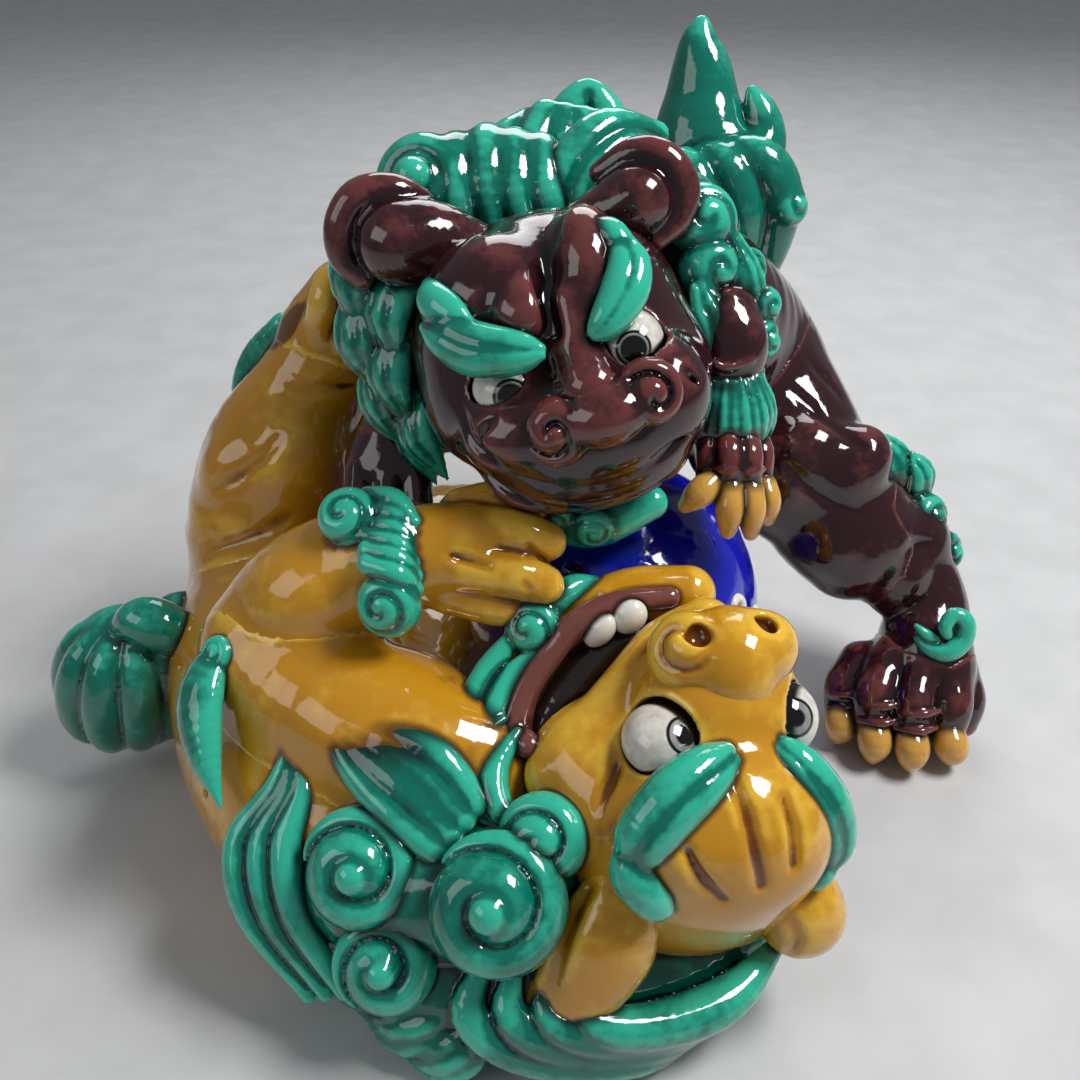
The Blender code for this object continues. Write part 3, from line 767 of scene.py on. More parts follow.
    claws("aubergine_right_fore_claw", (((-55, -13, 108), (-55, -16, 101)), ((-46, -16, 107),
                                                                             (-46, -19, 100)),
                                        ((-37, -14, 107), (-36, -17, 100))), 3.6)
    claws("aubergine_left_hind_claw", (((108, 0, 12), (107, -4, 5)), ((117, -10, 13), (117, -14, 5)),
                                       ((129, -14, 13), (129, -18, 5)), ((143, -12, 12), (144, -15, 5))), 5.8)
    claws("aubergine_right_hind_claw", (((14, 78, 8), (14, 74, 4)), ((26, 76, 9), (26, 72, 4)),
                                        ((39, 78, 8), (39, 74, 4))), 4.0)


def make_plum_head():
    tilt = (0, -20, 0)
    shapes = [
        Lump((2, 0, 158), (40, 34, 34), tilt),
        Lump((8, -14, 148), (41, 31, 25), (0, -14, 0)).soft(8),
        Lump((-14, -13, 175), (20, 19, 15), (0, -25, 0)).soft(3),
        Lump((13, -14, 182), (11, 18, 17), (0, -12, 0)).soft(2),
        Lump((-6, -27, 177), (9, 12, 8), (20, -40, 0)).soft(2),
        Lump((14, -30, 145), (30, 23, 18), (0, -14, 0)).soft(8),
        Lump((-6, -37, 146), (15, 13, 10), (0, -25, 0)).soft(6),
        Lump((33, -33, 156), (12, 14, 14), tilt).soft(6),
        Lump((13, -35, 133), (27, 15, 11), (0, -12, 0)).soft(8),
        Roll([(8, -30, 178, 6), (10, -36, 168, 7), (13, -44, 161, 8)]).soft(5),
        crease((7, -8, 197, 1.0), (3, -20, 191, 1.5), (1, -30, 182, 1.7), (4, -36, 173, 1.4), soft=4),
        crease((-12, -36, 175, 0.7), (-4, -39, 171, 1.1), (2, -40, 165, 0.9), soft=2),
        crease((15, -38, 172, 0.8), (9, -40, 166, 1.0), (4, -41, 163, 0.7), soft=1.5),
        crease((-22, -35, 151, 0.6), (-15, -46, 143, 1.0), (0, -52.5, 136.5, 1.2), (14, -54.5, 136.5, 1.3),
               (30, -50, 142, 1.2), (42, -37, 152, 0.7), soft=2.5),
        crease((-22, -30, 138, 0.5), (-8, -43, 130, 0.8), (12, -49, 126, 0.9), (32, -43, 132, 0.6), soft=4),
        crease((-13, -45, 152, 0.6), (-15, -44, 147, 0.9), (-11, -48, 142, 0.7), soft=2),
        crease((38, -42, 165, 0.6), (40, -40, 158, 0.9), (37, -44, 151, 0.7), soft=2),
        Lump((-8, -31, 155.5), (11, 10, 8.4), (0, -8, 0)).carved(0.6),
        Lump((23.3, -30.5, 168), (10, 10, 9.2), tilt).carved(0.6),
    ]
    sculpt("aubergine_head", shapes, PLUM, 0.65, 8, nodes=("plum_head",), group="plum_head")
    sculpt("aubergine_nose", [
        Lump((16, -48, 156), (13, 11, 9), tilt),
        Curl((4.5, -49, 152), (-0.25, -0.9, 0.25), 10, 8, turns=1.3, spin=1, start=0.45, depth=3.2).soft(1.5),
        Curl((27.5, -46, 160.5), (0.25, -0.9, 0.25), 9.5, 8, turns=1.3, spin=-1, start=0.45,
             depth=3.2).soft(1.5),
    ], PLUM, 0.5, 4, nodes=("plum_nose",), group="plum_head")
    for side, centre, radii, pupil, turn in (
            ("right", (-8, -31.5, 155.5), (10.5, 10, 8), (-7.5, -41, 157), (0, -8, 0)),
            ("left", (23.3, -30.5, 167.5), (9.5, 10, 8.8), (24, -40.2, 170.2), tilt)):
        eye = eye_glaze("aubergine_%s_eye_glaze" % side, pupil, 5.2, 3.6)
        sculpt("aubergine_%s_eye" % side, [Lump(centre, radii, turn)], eye, 0.5,
               nodes=("plum_%s_eye" % side,), group="plum_eye_" + side)
    sculpt("aubergine_right_brow", [
        Roll([(-28, -29, 171.5, 4), (-23, -34, 170.5, 6.8), (-16, -38, 169, 7.8), (-7, -41, 169.5, 6.4),
              (-1, -43, 170.5, 3)],
             face=(-0.3, -0.8, 0.6), flat=0.8, ridges=2, depth=0.7),
        Roll([(-29.5, -20, 179, 2.8), (-28, -26, 178, 4.8), (-24, -31, 176.5, 5), (-19, -35, 175, 2.4)],
             face=(-0.5, -0.7, 0.5), flat=0.8).soft(0.8),
    ], JADE, 0.5, 1.5, nodes=("plum_right_brow",))
    sculpt("aubergine_left_brow", [
        Roll([(19, -21, 190.5, 4.2), (22.5, -27, 188, 6.2), (21.5, -33, 183, 6.8), (17.5, -38, 177.5, 5.4),
              (14, -40, 174.5, 2.4)], face=(0.1, -0.8, 0.6), flat=0.8, ridges=2, depth=0.7),
        Roll([(15, -17, 193.5, 3.2), (18, -20, 193, 4.6), (21.5, -23, 190.5, 4)]).soft(0.8),
    ], JADE, 0.5, 1.5, nodes=("plum_left_brow",))
    sculpt("aubergine_right_ear", [
        Roll([(-18, 8, 178, 9), (-30, 4, 183, 11.5), (-39, 1, 184, 12)]),
        Roll([(-34, 10, 193, 4), (-41, 8, 196, 5.2), (-50, 6, 195, 5.4), (-55, 4, 188, 5.2),
              (-55, 2, 179.5, 4.4), (-50, 0, 174, 3.2)]).soft(1.6),
        Lump((-42, 9, 184), (12, 8, 10)).soft(1.5),
    ], PLUM, 0.6, 4, nodes=("plum_right_ear",), group="plum_head")
    sculpt("aubergine_left_ear", [
        Roll([(13, 10, 185, 8), (20, 9, 189, 9.5), (27, 9, 193, 10.5)]),
        Roll([(17, 16, 199, 3.4), (26, 15, 204.5, 4.6), (34, 13, 204, 5), (39.5, 11, 197, 5.2),
              (38.5, 8, 189, 4.6), (33, 4, 184, 3.2)]).soft(1.6),
        Lump((29, 15, 194), (10, 7, 10)).soft(1.5),
    ], PLUM, 0.6, 4, nodes=("plum_left_ear",), group="plum_head")


def make_plum_hair():
    sculpt("aubergine_beard", [
        Roll([(-12, -14, 119, 5), (2, -28, 113, 6), (16, -33, 112, 6), (32, -28, 117, 5)]),
        Curl((4, -34, 116), (-0.2, -0.9, -0.1), 6, 4).soft(0.8),
        Curl((15, -37, 114), (0, -0.9, -0.1), 6, 4, spin=-1).soft(0.8),
    ], JADE, 0.7, 2, nodes=("plum_beard",))
    face = (-0.55, -0.8, 0.15)
    sculpt("aubergine_right_mane", [
        Roll([(-40, 26, 180, 13), (-41, 22, 160, 14), (-37, 15, 142, 14), (-29, 8, 124, 9)]),
        leaf((-40, 10, 186), (-53, 8, 174), (-52, 0, 158), 9, face),
        leaf((-33, 6, 178), (-43, -1, 166), (-41, -7, 150), 8, face),
        leaf((-48, 12, 170), (-53, 3, 156), (-47, -3, 140), 9, face),
        leaf((-38, 2, 160), (-44, -5, 148), (-38, -11, 132), 8, face),
        leaf((-45, 8, 150), (-48, -1, 138), (-41, -8, 124), 8, face),
        leaf((-34, -2, 142), (-36, -10, 131), (-27, -16, 117), 7.5, face),
        leaf((-40, 4, 134), (-39, -4, 124), (-31, -10, 112), 6.5, face),
    ], JADE, 0.65, 1.5, nodes=("plum_right_mane",))
    sculpt("aubergine_left_mane", [
        Roll([(42, 26, 186, 11), (50, 28, 168, 13), (50, 22, 150, 11), (46, 4, 132, 7)]),
        Curl((46, 14, 186), (0.2, -0.85, 0.5), 11, 8, turns=1.4).soft(0.8),
        Curl((49, 8, 174), (0.4, -0.85, 0.3), 10, 8, turns=1.4, spin=-1).soft(0.8),
        leaf((46, 0, 170), (50, -4, 158), (47, -9, 146), 8, (0.4, -0.85, 0.2)),
        leaf((56, 12, 180), (60, 8, 168), (57, 4, 158), 7, (0.6, -0.8, 0.2)),
        Roll([(42, -22, 150, 2), (46, -20, 142, 4.5), (45, -19, 132, 4.5), (41, -19, 125, 2)],
             face=(0.5, -0.8, 0), flat=0.8, ridges=2, depth=1.0).soft(0.8),
    ], JADE, 0.65, 2, nodes=("plum_left_mane",))
    sculpt("aubergine_crest_curl", [
        Lump((-14, 46, 183), (26, 18, 16)),
        Curl((-35, 35, 190), (-0.45, -0.8, 0.4), 15.5, 12, turns=1.3, depth=2.4).soft(0.8),
        Lump((-37, 24, 196), 5.6).soft(0.6),
        Roll([(-23, 25, 179, 4), (-25, 29, 191, 6), (-25, 39, 198.5, 6.2), (-24, 54, 196, 4)]).soft(2),
    ] + fan([(-14, 27, 180, 4), (-16, 31, 192, 6.6), (-16, 42, 199.5, 7), (-14, 58, 195, 5)],
            [(5, 26, 182, 3), (1, 31, 191, 6), (0, 42, 197.5, 6.4), (2, 58, 193, 4)], 3, 2.0),
        JADE, 0.65, 2, nodes=("plum_crest_curl",))
    sculpt("aubergine_crest_middle", [
        Lump((16, 54, 184), (20, 18, 14)),
    ] + fan([(36, 56, 200, 4), (20, 46, 204, 6), (8, 36, 196, 6), (4, 30, 184, 4)],
            [(42, 46, 186, 3), (34, 40, 190, 5), (26, 33, 188, 5), (22, 29, 181, 3)], 4, 0.7),
        JADE, 0.65, 2, nodes=("plum_crest_middle",))
    sculpt("aubergine_crest_rear", [
        Lump((11, 71, 186), (23, 15, 14)),
        *rolls(2, [(-12, 62, 187, 7), (-11, 63, 194, 7.5), (-3, 69, 198, 7)],
               [(5, 76, 195, 6), (10, 78, 203, 5.6), (15.5, 79, 208.5, 3.4), (21, 78, 203, 5.2),
                (27, 75, 192, 6)]),
    ] + fan([(-2, 56, 188, 4), (-2, 58, 196, 6), (2, 66, 202.5, 5.8)],
            [(32, 56, 185, 4), (29, 57, 192, 5.4), (25, 66, 199, 5.4)], 5, 1.4),
        JADE, 0.7, 2, nodes=("plum_crest_rear",))
    fringe = []
    for i in range(6):
        turn = math.radians(-150 + 26 * i)
        out = np.array((math.cos(turn), math.sin(turn), 0.0))
        root = np.array((54, -5, 147)) + out * (9.5, 8.5, 0)
        middle = np.array((54, -6, 138)) + out * (12.5, 12, 0)
        tip = np.array((54, -7, 128.5)) + out * (14, 14, 0)
        fringe.append(leaf(root, middle, tip, 5.6, out, depth=0.8))
    sculpt("aubergine_left_cuff", [
        Roll([(44, -6, 143, 2.6), (49, -12, 144, 3), (56, -13, 145, 3), (62, -9, 145, 2.8),
              (64, 0, 146, 2.4)]),
    ] + fringe, JADE, 0.5, 1, nodes=("plum_left_cuff",))
    sculpt("aubergine_left_elbow_curls", [
        Lump((63, 13, 152), (6, 9, 12)),
        Curl((65, 6, 153), (0.6, -0.75, 0.1), 6.5, 6.5, turns=1.4).soft(0.8),
        Curl((65, 11, 162), (0.6, -0.75, 0.2), 7, 6.5, turns=1.4, spin=-1).soft(0.8),
        Curl((61, 16, 171), (0.5, -0.8, 0.3), 6.5, 6, turns=1.4).soft(0.8),
    ], JADE, 0.6, 2, nodes=("plum_left_elbow_curls",))
    sculpt("aubergine_left_hock_tuft", [
        leaf((126, 46, 72), (127, 47, 86), (119, 50, 100), 8.5, (0.5, -0.8, 0.3)),
        leaf((131, 46, 68), (136, 45, 82), (131, 46, 94), 7, (0.6, -0.7, 0.3)),
        Lump((133, 46, 68), (10, 10, 12)),
        Curl((138, 39, 70), (0.5, -0.8, 0.3), 9.5, 7.5, turns=1.5).soft(0.8),
        Curl((147, 37, 57), (0.6, -0.7, 0.3), 8, 6.5, turns=1.5).soft(0.8),
    ], JADE, 0.6, 2, nodes=("plum_left_hock_tuft",))
    ring = [(131, 5, 42, 1.2), (135, 2, 40, 2.6), (141, 0, 40, 3.4), (146, 2, 44, 3.4), (146, 4, 50, 3.2),
            (142, 5, 52, 2.8), (139, 3, 49, 2.4), (140, 2, 46, 1.8)]
    sculpt("aubergine_left_ankle_curl", [Roll(ring), Roll([(130, 6, 47, 0.8), (133, 4, 45, 1.8),
                                                           (137, 3, 43, 1.4)])],
           JADE, 0.5, 1)
    sculpt("aubergine_tail", [
        Lump((66, 122, 156), (24, 17, 34)),
        Roll([(60, 120, 160, 18), (59.5, 128, 180, 17.5), (59.5, 132, 192, 14), (59, 134, 203, 11),
              (57.5, 135.5, 212, 7), (58, 136, 218.5, 3.4)],
             face=(-0.4, -0.9, 0.2), flat=0.9).soft(2),
        Roll([(78, 121, 174, 12), (82, 124, 182, 8.5), (80.5, 126, 190, 6.5),
              (77, 127, 197.5, 2.5)]).soft(1.2),
        crease((46, 112, 184, 0.8), (56, 108, 186, 1.4), (68, 110, 185, 1.4), (78, 114, 180, 0.8), soft=2),
    ] + fan([(46, 112, 176, 4), (53, 105, 175, 8), (58, 100, 162, 9), (60, 100, 144, 8.5), (62, 102, 124, 5)],
            [(64, 113, 179, 5), (78, 108, 178, 8.5), (86, 106, 167, 9), (85, 105, 150, 8),
             (80, 104, 130, 5)], 3, 1.6) + [
        Curl((89, 103, 163), (0.6, -0.75, 0.2), 8.5, 8, turns=1.4).soft(0.8),
    ], JADE, 0.8, 2, nodes=("plum_tail",))


# ---------------------------------------------------------------- the amber lion
def make_amber_body():
    parts = [
        ("amber_torso_shell", ("amber_torso",), [
            Roll([(-88, 30, 40, 40), (-84, -8, 38, 41), (-69, -47, 36, 40), (-50, -70, 35, 36),
                  (-20, -82, 36, 30)]),
        ] + [crease((-98 + 8 * i, -42 - 9 * i, 84 - 4 * i, 0.6), (-102 + 9 * i, -56 - 8 * i, 68 - 4 * i, 1.5),
                    (-106 + 11 * i, -64 - 9 * i, 48 - 2 * i, 0.8), soft=2) for i in range(5)], 1.1, 2),
        ("amber_left_shoulder", ("amber_left_upper_foreleg",), [
            Roll([(-20, -76, 62, 20), (-34, -74, 64, 23), (-56, -62, 66, 24), (-80, -46, 72, 20)]),
            Lump((-44, -66, 72), (26, 18, 16), (0, 8, 24)).soft(5),
        ], 0.9, 1),
        ("amber_left_forearm_roll", ("amber_left_forearm",), [
            Roll([(-80, -40, 76, 20), (-68, -38, 90, 20.5), (-52, -40, 102, 18), (-36, -44, 109, 14)]),
            Lump((-66, -46, 96), (18, 14, 15), (0, -30, 0)).soft(5),
            crease((-92, -52, 88, 0.8), (-84, -60, 84, 1.8), (-70, -62, 84, 1.8), (-56, -60, 90, 0.8),
                   soft=3),
        ], 0.9, 2),
        ("amber_left_hand", ("amber_left_forepaw",), [
            Lump((-24, -44, 110), (17, 13, 14)),
            Lump((-18, -42, 117), (13, 9, 6), (0, 10, 0)).soft(2),
            *rolls(1.5, [(-22, -34, 119, 6), (-10, -33, 121, 6), (-2, -34, 119, 5)],
                   [(-20, -43, 118, 6.5), (-6, -44, 117, 6.5), (2, -44, 114, 5.5)],
                   [(-20, -51, 110, 7), (-6, -52, 108, 6.8), (1, -52, 105, 5.8)],
                   [(-24, -52, 102, 6), (-12, -53, 99, 6), (-5, -52, 97, 4.6)]),
            crease((-3, -50, 117, 0.5), (0, -50, 113, 0.8), (2, -49, 110, 0.5), soft=0.8),
            crease((-4, -58, 110, 0.5), (-2, -59, 106, 0.8), (-3, -57, 102, 0.5), soft=0.8),
            crease((-36, -50, 120, 0.6), (-26, -54, 117, 1.0), (-14, -56, 114, 0.6), soft=2),
        ], 0.6, 0),
        ("amber_right_foreleg_roll", ("amber_right_foreleg",), [
            Roll([(-44, -30, 40, 20), (-42, 4, 34, 17), (-28, 30, 36, 14), (-14, 38, 40, 12)]),
        ], 1.2, 1),
        ("amber_left_thigh_roll", ("amber_left_thigh",), [
            Roll([(-92, 34, 70, 33), (-89, 38, 95, 27), (-78, 42, 116, 21), (-70, 45, 132, 17)]),
            Lump((-82, 26, 98), (20, 20, 26), (0, 12, 0)).soft(5),
            Lump((-101, 24, 98), (12, 12, 16), (0, 20, 0)).soft(4),
            Lump((-106, 22, 76), (13, 12, 14)).soft(4),
            crease((-82, 26, 132, 0.6), (-76, 24, 129, 1.0), (-68, 26, 128, 1.0), (-61, 32, 126, 0.6),
                   soft=3),
            crease((-106, 12.5, 98, 0.5), (-93, 10.5, 107, 1.3), (-83, 12, 117, 0.5), soft=3.5),
            crease((-112, 6.5, 75, 0.5), (-95, 4.5, 84, 1.4), (-82, 6, 91, 0.5), soft=3.5),
        ], 0.95, 1),
        ("amber_left_hind_foot", ("amber_left_hind_paw",), [
            Roll([(-68, 48, 138, 17), (-63, 47, 149, 14)]),
            *rolls(1.2, [(-70, 36, 144, 6), (-67.5, 32, 154, 5.6), (-66, 35, 161, 4.2)],
                   [(-60, 34, 144, 6.5), (-57, 31, 154, 6), (-57, 34, 162, 4.2)],
                   [(-52, 40, 146, 6), (-49, 38, 155, 5.6), (-49, 41, 161, 4)]),
        ], 0.7, 0),
        ("amber_right_hind_leg_roll", ("amber_right_hind_leg",), [
            Roll([(-58, 58, 38, 27), (-34, 76, 34, 25), (-14, 78, 28, 19), (4, 66, 18, 14),
                  (16, 60, 12, 12)]),
            Lump((-28, 82, 38), (18, 18, 17), (0, 10, 0)).soft(5),
            *rolls(1.5, [(14, 68, 20, 5.5), (22, 68, 16, 5.5), (26, 66, 9, 5)],
                   [(16, 60, 22, 5.5), (25, 58, 17, 5.5), (29, 56, 9, 5)],
                   [(14, 52, 20, 5.5), (22, 49, 16, 5.5), (26, 47, 9, 5)]),
        ], 1.2, 1),
    ]
    sculpt_body("amber_body", AMBER, parts)
    tail_ribs = []
    for i in range(7):
        turn = math.radians(-175 + 36 * i)
        side = np.array((math.cos(turn), math.sin(turn), 0.0))
        stations = []
        for lift, width in ((-0.86, 3), (-0.45, 6.5), (0.1, 7.5), (0.6, 6.5), (0.93, 3)):
            out = math.sqrt(1 - lift * lift)
            lean = np.array((4.0 * lift, 0, 0))
            place = np.array((-140, -6, 34)) + side * out * (19.5, 17.5, 0) + lean + (0, 0, 26 * lift)
            stations.append((*place, width))
        tail_ribs.append(Roll(stations).soft(0.7))
    sculpt("amber_tail_plume", [
        Lump((-140, -6, 34), (22, 20, 28)),
        Lump((-122, 4, 44), (15, 13, 17)).soft(4),
    ] + tail_ribs + [
        Roll([(-118, -8, 52, 5), (-120, -14, 60, 8), (-128, -14, 64, 8), (-137, -12, 60, 4)]).soft(0.8),
    ], JADE, 0.75, 4, nodes=("amber_tail_ball",))
    sculpt("amber_left_cuff_fur", [
        Curl((-53, -44, 122), (-0.2, -0.6, 0.8), 9, 6, turns=1.5).soft(0.8),
        Lump((-38, -46, 117), (6, 10, 6)),
        Curl((-41, -62, 106), (-0.25, -0.9, 0.3), 9.5, 7, turns=1.7, depth=1.5).soft(0.8),
    ] + fan([(-48, -36, 124, 3), (-40, -42, 126, 3.6), (-34, -48, 123, 2)],
            [(-46, -58, 116, 3), (-38, -61, 115, 3.4), (-33, -61, 110, 2)], 6, 0.5),
        JADE, 0.5, 2, nodes=("amber_left_cuff",))
    sculpt("amber_flank_leaf_fur", [
        Roll([(-84, -42, 94, 1.2), (-90, -51, 86, 4.5), (-95, -65, 77, 9), (-93, -77, 67, 7),
              (-87, -89, 57, 0.8)],
             face=(-0.6, -0.5, 0.6), flat=0.6, ridges=1, depth=1.6),
        Curl((-91, -57, 85), (-0.5, -0.5, 0.7), 5.5, 4, turns=1.6, depth=1.0).soft(0.6),
    ], JADE, 0.5, 2, nodes=("amber_flank_leaf",))
    sculpt("amber_hind_tuft_fur", [
        leaf((-86, 42, 132), (-83, 38, 145), (-75, 38, 158), 6.5, (-0.3, -0.9, 0.2)),
        Roll([(-100, 50, 98, 3), (-102, 54, 111, 6), (-97, 56, 124, 6.5), (-87, 54, 138, 4)]),
        leaf((-101, 42, 118), (-106, 38, 109), (-108, 38, 98), 6, (-0.6, -0.8, 0.1)),
    ], JADE, 0.6, 2, nodes=("amber_hind_tuft",))


def make_amber_head():
    shapes = [
        Lump((39, -88, 52), (40, 36, 36)),
        Lump((46, -80, 84), (24, 24, 22)).soft(8),
        Lump((46, -106, 66), (28, 22, 26)).soft(6),
        Lump((36, -114, 72), (15, 13, 14)).soft(4),
        Lump((57, -110, 68), (15, 13, 16)).soft(4),
        Lump((16, -84, 66), (20, 22, 20)).soft(6),
        Roll([(3, -90, 70, 7), (13, -84, 78, 8), (24, -76, 87, 8.5), (34, -68, 95, 8.5),
              (45, -63, 99, 8)]).soft(3),
        Lump((31, -95.5, 88.5), (11, 11, 10)).carved(0.7),
        Lump((63, -86, 87), (10, 10.5, 10)).carved(0.7),
        crease((26, -88, 98, 0.8), (20, -92, 90, 1.6), (19, -100, 82, 1.6), (13, -110, 74, 1.0)),
        crease((46, -112, 91.5, 0.5), (49, -119.4, 86, 1.1), (51, -124.3, 79, 1.1), (53, -127, 70, 0.5),
               soft=3),
        crease((35, -124.3, 79, 0.5), (39, -126.9, 72, 1.1), (44, -127.7, 66, 0.5), soft=3),
        crease((59, -115, 86, 0.5), (61, -120.2, 80, 1.1), (61, -123.4, 73, 0.5), soft=3),
        crease((22, -78, 97, 0.7), (30, -72, 102, 1.4), (36, -72, 106, 0.8), soft=1.5),
        Roll([(-6, -78, 72, 4), (5, -68, 80, 8), (16, -58, 88, 9), (28, -52, 92, 8),
              (40, -50, 92, 5)]).carved(1.0),
    ]
    sculpt("amber_head_shell", shapes, AMBER, 0.65, 8, nodes=("amber_head",), group="amber_head")
    sculpt("amber_lower_jaw_roll", [
        Roll([(-7, -78, 58, 7), (-8, -68, 70, 7), (-1, -57, 82, 7.5), (10, -50, 91, 8),
              (26, -46, 96.5, 8.5), (42, -46, 98, 8)]),
        crease((-12, -76, 72, 0.8), (-7, -66, 82, 1.4), (2, -57, 92, 1.4), (16, -52, 101, 0.9)),
    ], AMBER, 0.65, 4, nodes=("amber_lower_jaw",), group="amber_head")
    sculpt("amber_lip_band", [
        Roll([(-3, -84, 75, 3.6), (-7, -78, 74, 5.0), (-4, -70, 82, 4.0), (3, -64, 90, 3.6),
              (10, -59, 97, 3.8),
              (22, -55, 101, 3.6), (36, -53, 101.5, 3.0)]),
        crease((-9, -81, 80, 0.5), (-3, -73, 87, 0.9), (6, -66, 95, 0.8), (16, -61, 102, 0.5), soft=0.8),
    ], LIP, 0.5, 2, group="lip")
    sculpt("amber_mouth_hollow", [
        Roll([(-1, -74, 68, 5), (8, -64, 76, 8), (18, -56, 84, 8), (30, -52, 88, 6)]),
    ], MOUTH, 0.7, 2, group="mouth")
    sculpt("amber_nose_lump", [
        Lump((49, -80, 103), (14, 14, 12)),
        Lump((39, -79, 103.5), (9.5, 11, 9.5)).soft(3),
        Lump((58, -77, 103), (9, 10, 9.5)).soft(3),
        Lump((49, -88, 98), (10, 7, 8)).soft(5),
        Lump((39.5, -84, 111), 3.8).carved(2.0),
        Lump((57, -79, 111), 3.2).carved(2.0),
        Curl((38, -81, 105), (-0.4, -0.45, 0.8), 11, 9, turns=1.15, spin=-1, start=0.1, depth=2.6).soft(2.0),
        Lump((39.5, -84, 112), 3.2).carved(1.5),
    ], AMBER, 0.5, 4, nodes=("amber_nose",), group="amber_head")
    for i, (at, size) in enumerate((((16.5, -60, 95.5), (4.0, 3.8, 6)), ((24.5, -58.5, 99),
                                                                         (4.8, 3.8, 5.6)))):
        sculpt("amber_tooth_%d" % (i + 1), [Lump(at, size, (0, 35, 0))], CREAM, 0.5,
               nodes=("amber_upper_teeth",) if i == 0 else (), group="teeth")
    for side, centre, size, pupil in (("left", (31, -95.5, 88), (10.5, 10.5, 9), (36, -101, 94.5)),
                                      ("right", (63, -86, 87), (9.5, 10, 9.5), (64.5, -92, 92))):
        eye = eye_glaze("amber_%s_eye_glaze" % side, pupil, 5.4, 2.8)
        sculpt("amber_%s_eyeball" % side, [Lump(centre, size)], eye, 0.5, nodes=("amber_%s_eye" % side,),
               group="amber_eye_" + side)
    sculpt("amber_left_brow_fur", [
        Roll([(44, -107, 91, 5.4), (39, -111, 90, 8), (32, -116, 87, 8.8), (25.5, -120, 80, 8),
              (23, -122, 74, 4)],
             face=(0, -0.8, 0.6), flat=0.85, ridges=2, depth=0.8),
        Roll([(21, -121, 78, 2.4), (22, -124, 71, 5.4), (27, -126, 64, 5.0), (31, -126, 60, 2)]).soft(0.8),
    ], JADE, 0.5, 2, nodes=("amber_left_brow",))
    sculpt("amber_right_brow_fur", [
        Roll([(60, -99, 88, 4), (65, -103, 84, 7), (71, -106, 76, 7.6), (74, -108, 66, 7), (73, -110, 60, 4)],
             face=(0.3, -0.8, 0.5), flat=0.85, ridges=2, depth=0.8),
        Roll([(73, -110, 62, 3), (71, -111, 57, 4.6), (68, -112, 54, 2)]).soft(0.8),
    ], JADE, 0.5, 2, nodes=("amber_right_brow",))
    sculpt("amber_left_ear_fold", [
        Roll([(24, -112, 60, 6), (18, -120, 48, 12), (12, -125, 34, 12), (2, -127, 23, 7), (-7, -126, 15, 1)],
             face=(-0.1, -0.9, 0.4), flat=0.7),
        Lump((16, -122, 40), (13, 9, 15), (0, 30, 0)).soft(4),
        crease((12, -118, 58, 0.8), (5, -126, 46, 1.6), (1, -131, 34, 1.4), (-2, -132, 26, 0.6), soft=4),
    ], AMBER, 0.55, 3, nodes=("amber_left_ear",), group="amber_head")
    sculpt("amber_right_ear_fold", [
        Roll([(62, -102, 50, 8), (68, -106, 42, 11)]),
        Lump((70, -108, 37), (12, 11, 13)).soft(3),
        crease((64, -117, 46, 0.8), (67, -119, 40, 1.5), (66, -118, 32, 0.8)),
    ], AMBER, 0.6, 3, nodes=("amber_right_ear",), group="amber_head")


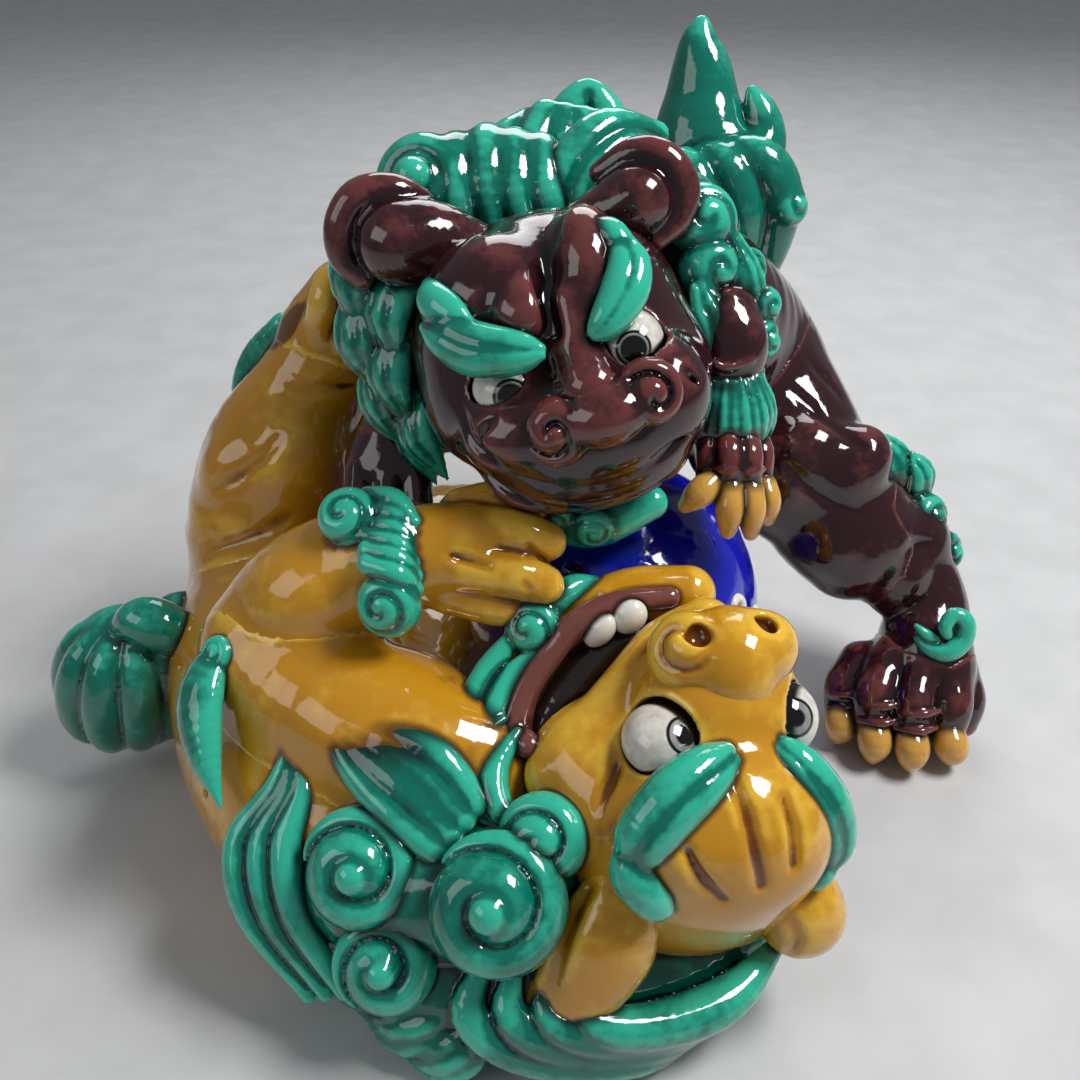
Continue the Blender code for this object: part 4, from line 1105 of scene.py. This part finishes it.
def make_amber_mane():
    sculpt("amber_mane_mass", [
        Roll([(-46, -102, 14, 17), (-24, -112, 16, 18), (10, -112, 14, 17), (40, -104, 14, 15),
              (56, -97, 14, 11)]),
        Roll([(-60, -92, 34, 16), (-42, -100, 38, 19), (-14, -104, 44, 19), (2, -100, 50, 15)]).soft(3),
    ] + fan([(-14, -120, 34, 2), (-18, -130, 24, 5), (-2, -133, 12, 6), (26, -130, 8, 6), (48, -118, 8, 3)],
            [(8, -126, 30, 2), (14, -132, 24, 5), (30, -130, 20, 6), (50, -122, 20, 6),
             (66, -108, 26, 2)], 4, 0.7) + [
        leaf((-20, -124, 22), (-34, -126, 14), (-50, -118, 8), 9, (-0.3, -0.8, 0.5)),
        leaf((-16, -130, 16), (-24, -132, 9), (-38, -128, 3), 8, (-0.2, -0.9, 0.3)),
        leaf((-54, -112, 20), (-62, -106, 14), (-70, -98, 8), 8, (-0.6, -0.7, 0.3)),
    ], JADE, 0.7, 3, nodes=("amber_mane_base",), table=True)
    normal = (-0.1, -0.78, 0.62)
    for name, at, size, start in (
            ("outer", (-47, -107, 52.5), 17, 0.2),
            ("front", (-11.5, -120, 54.5), 19, 0.1),
            ("lower", (-40, -122, 33), 14.5, 0.4)):
        middle = np.array(at) + unit(normal) * size * 0.44
        sculpt("amber_mane_curl_%s_fur" % name, [
            Curl(at, normal, size, size * 0.62, turns=1.55, spin=-1, start=start, depth=3.6),
            Lump(middle, size * 0.3).soft(0.8),
        ], JADE, 0.6, 2, nodes=("amber_mane_curl_" + name,))
    face = (-0.45, -0.6, 0.65)
    sculpt("amber_mane_flame_outer_fur", fan(
        [(-69, -79, 71, 0.8), (-72, -86, 61, 3.5), (-82, -94, 48, 4.5), (-78, -106, 34, 4.5),
         (-62, -120, 18, 2)],
        [(-67, -79, 70, 0.8), (-64, -88, 62, 3.5), (-68, -98, 52, 4.5), (-65, -109, 38, 4.5),
         (-52, -122, 22, 2)], 3, 0.8),
        JADE, 0.55, 1, nodes=("amber_mane_flame_outer",))
    sculpt("amber_mane_flame_inner_fur", [
        Roll([(-52, -82, 78, 1.5), (-46, -87, 75, 6), (-37, -92, 72, 9), (-27, -98, 67, 9)],
             face=(-0.3, -0.6, 0.75), flat=0.6),
    ] + fan([(-54, -79, 81, 0.8), (-53, -85, 75, 3.2), (-46, -93, 70, 4.4), (-36, -101, 65, 5),
             (-27, -107, 60, 4)],
            [(-53, -79, 81, 0.8), (-46, -82, 79, 3.2), (-36, -85, 79, 4.4), (-26, -90, 76, 5),
             (-17, -98, 68, 4)], 4, 1.8),
        JADE, 0.55, 1, nodes=("amber_mane_flame_inner",))
    sculpt("amber_cheek_curl_fur", [
        Curl((1, -107, 64), (-0.2, -0.8, 0.55), 12.5, 9.0, turns=1.55, spin=-1, start=0.3, depth=2.6),
        Lump((0, -111.5, 67), 3.8).soft(0.8),
    ], JADE, 0.5, 2, nodes=("amber_cheek_curl",))
    sculpt("amber_cheek_lock_fur", [
        Curl((-2, -57, 94), (-0.4, -0.8, 0.5), 8.5, 6.5, turns=1.4, depth=1.4).soft(0.6),
        Roll([(16, -45, 101, 2), (9, -48, 101, 4), (3, -53, 99, 4)]).soft(0.8),
    ] + fan([(-7, -58, 92, 2.5), (-15, -65, 84, 3.8), (-20, -76, 76, 4), (-18, -82, 70, 2)],
            [(-1, -62, 90, 2.0), (-9, -68, 83, 3.8), (-14, -78, 76, 4), (-14, -84, 70, 2)], 2, 0.6)
      + fan([(-10, -78, 79, 1.5), (-20, -86, 74, 4), (-19, -95, 67, 4), (-9, -101, 62, 2)],
            [(-6, -82, 78, 1.5), (-12, -90, 72, 4), (-11, -98, 67, 4), (-4, -103, 64, 2)], 2, 0.6),
        JADE, 0.5, 1, nodes=("amber_cheek_lock",))


# ---------------------------------------------------------------- the studio
LIGHTS = (      # name, place in metres, size in metres, watts
    ("window_light", (0.60, -0.10, 0.95), 0.45, 10.0),
    ("fill_light", (-0.9, -0.5, 0.7), 0.8, 2.2),
    ("back_light", (0.1, 0.9, 0.8), 0.7, 3.6),
)
ROOM_COLOUR, ROOM_STRENGTH = (0.62, 0.66, 0.72, 1), 0.24
CAMERA_AT = np.array([0.0, -314.0, 290.0])  # in the landmarks' millimetres
CAMERA_PITCH = 33                           # degrees below the horizon
SENSOR_WIDTH, LENS = 36, 38.6


def make_studio():
    """A pale floor, three soft lights and the camera."""
    bpy.ops.mesh.primitive_plane_add(size=6, location=(0, 0, 0))
    floor = bpy.context.object
    floor.name = "floor"
    tree = Tree("floor_paint")
    colour = tree.ramp(tree.noise(30.0), ((0.3, (0.60, 0.60, 0.60)), (0.7, (0.66, 0.66, 0.66))))
    floor.data.materials.append(tree.finish(colour, 0.6, 0.0))

    world = bpy.data.worlds.new("soft_room")
    bpy.context.scene.world = world
    world.use_nodes = True
    background = world.node_tree.nodes["Background"]
    background.inputs["Color"].default_value = ROOM_COLOUR
    background.inputs["Strength"].default_value = ROOM_STRENGTH

    for name, place, size, power in LIGHTS:
        light = bpy.data.lights.new(name, "AREA")
        light.shape = "RECTANGLE"
        light.size = size
        light.size_y = size * 0.7
        light.energy = power
        lamp = bpy.data.objects.new(name, light)
        bpy.context.collection.objects.link(lamp)
        lamp.location = place
        aim = Vector((0, 0, 0.1)) - lamp.location
        lamp.rotation_euler = aim.to_track_quat("-Z", "Y").to_euler()

    camera = bpy.data.objects.new("camera", bpy.data.cameras.new("camera"))
    bpy.context.collection.objects.link(camera)
    camera.data.sensor_width = SENSOR_WIDTH
    camera.data.lens = LENS
    camera.data.clip_start = 0.01
    camera.location = (CAMERA_AT + ORIGIN) * MM
    camera.rotation_euler = (math.radians(90 - CAMERA_PITCH), 0, 0)
    bpy.context.scene.camera = camera
    bpy.context.scene.view_settings.view_transform = "Standard"


make_ball()
make_plum_body()
make_plum_head()
make_plum_hair()
make_amber_body()
make_amber_head()
make_amber_mane()
measure_seams()
make_studio()
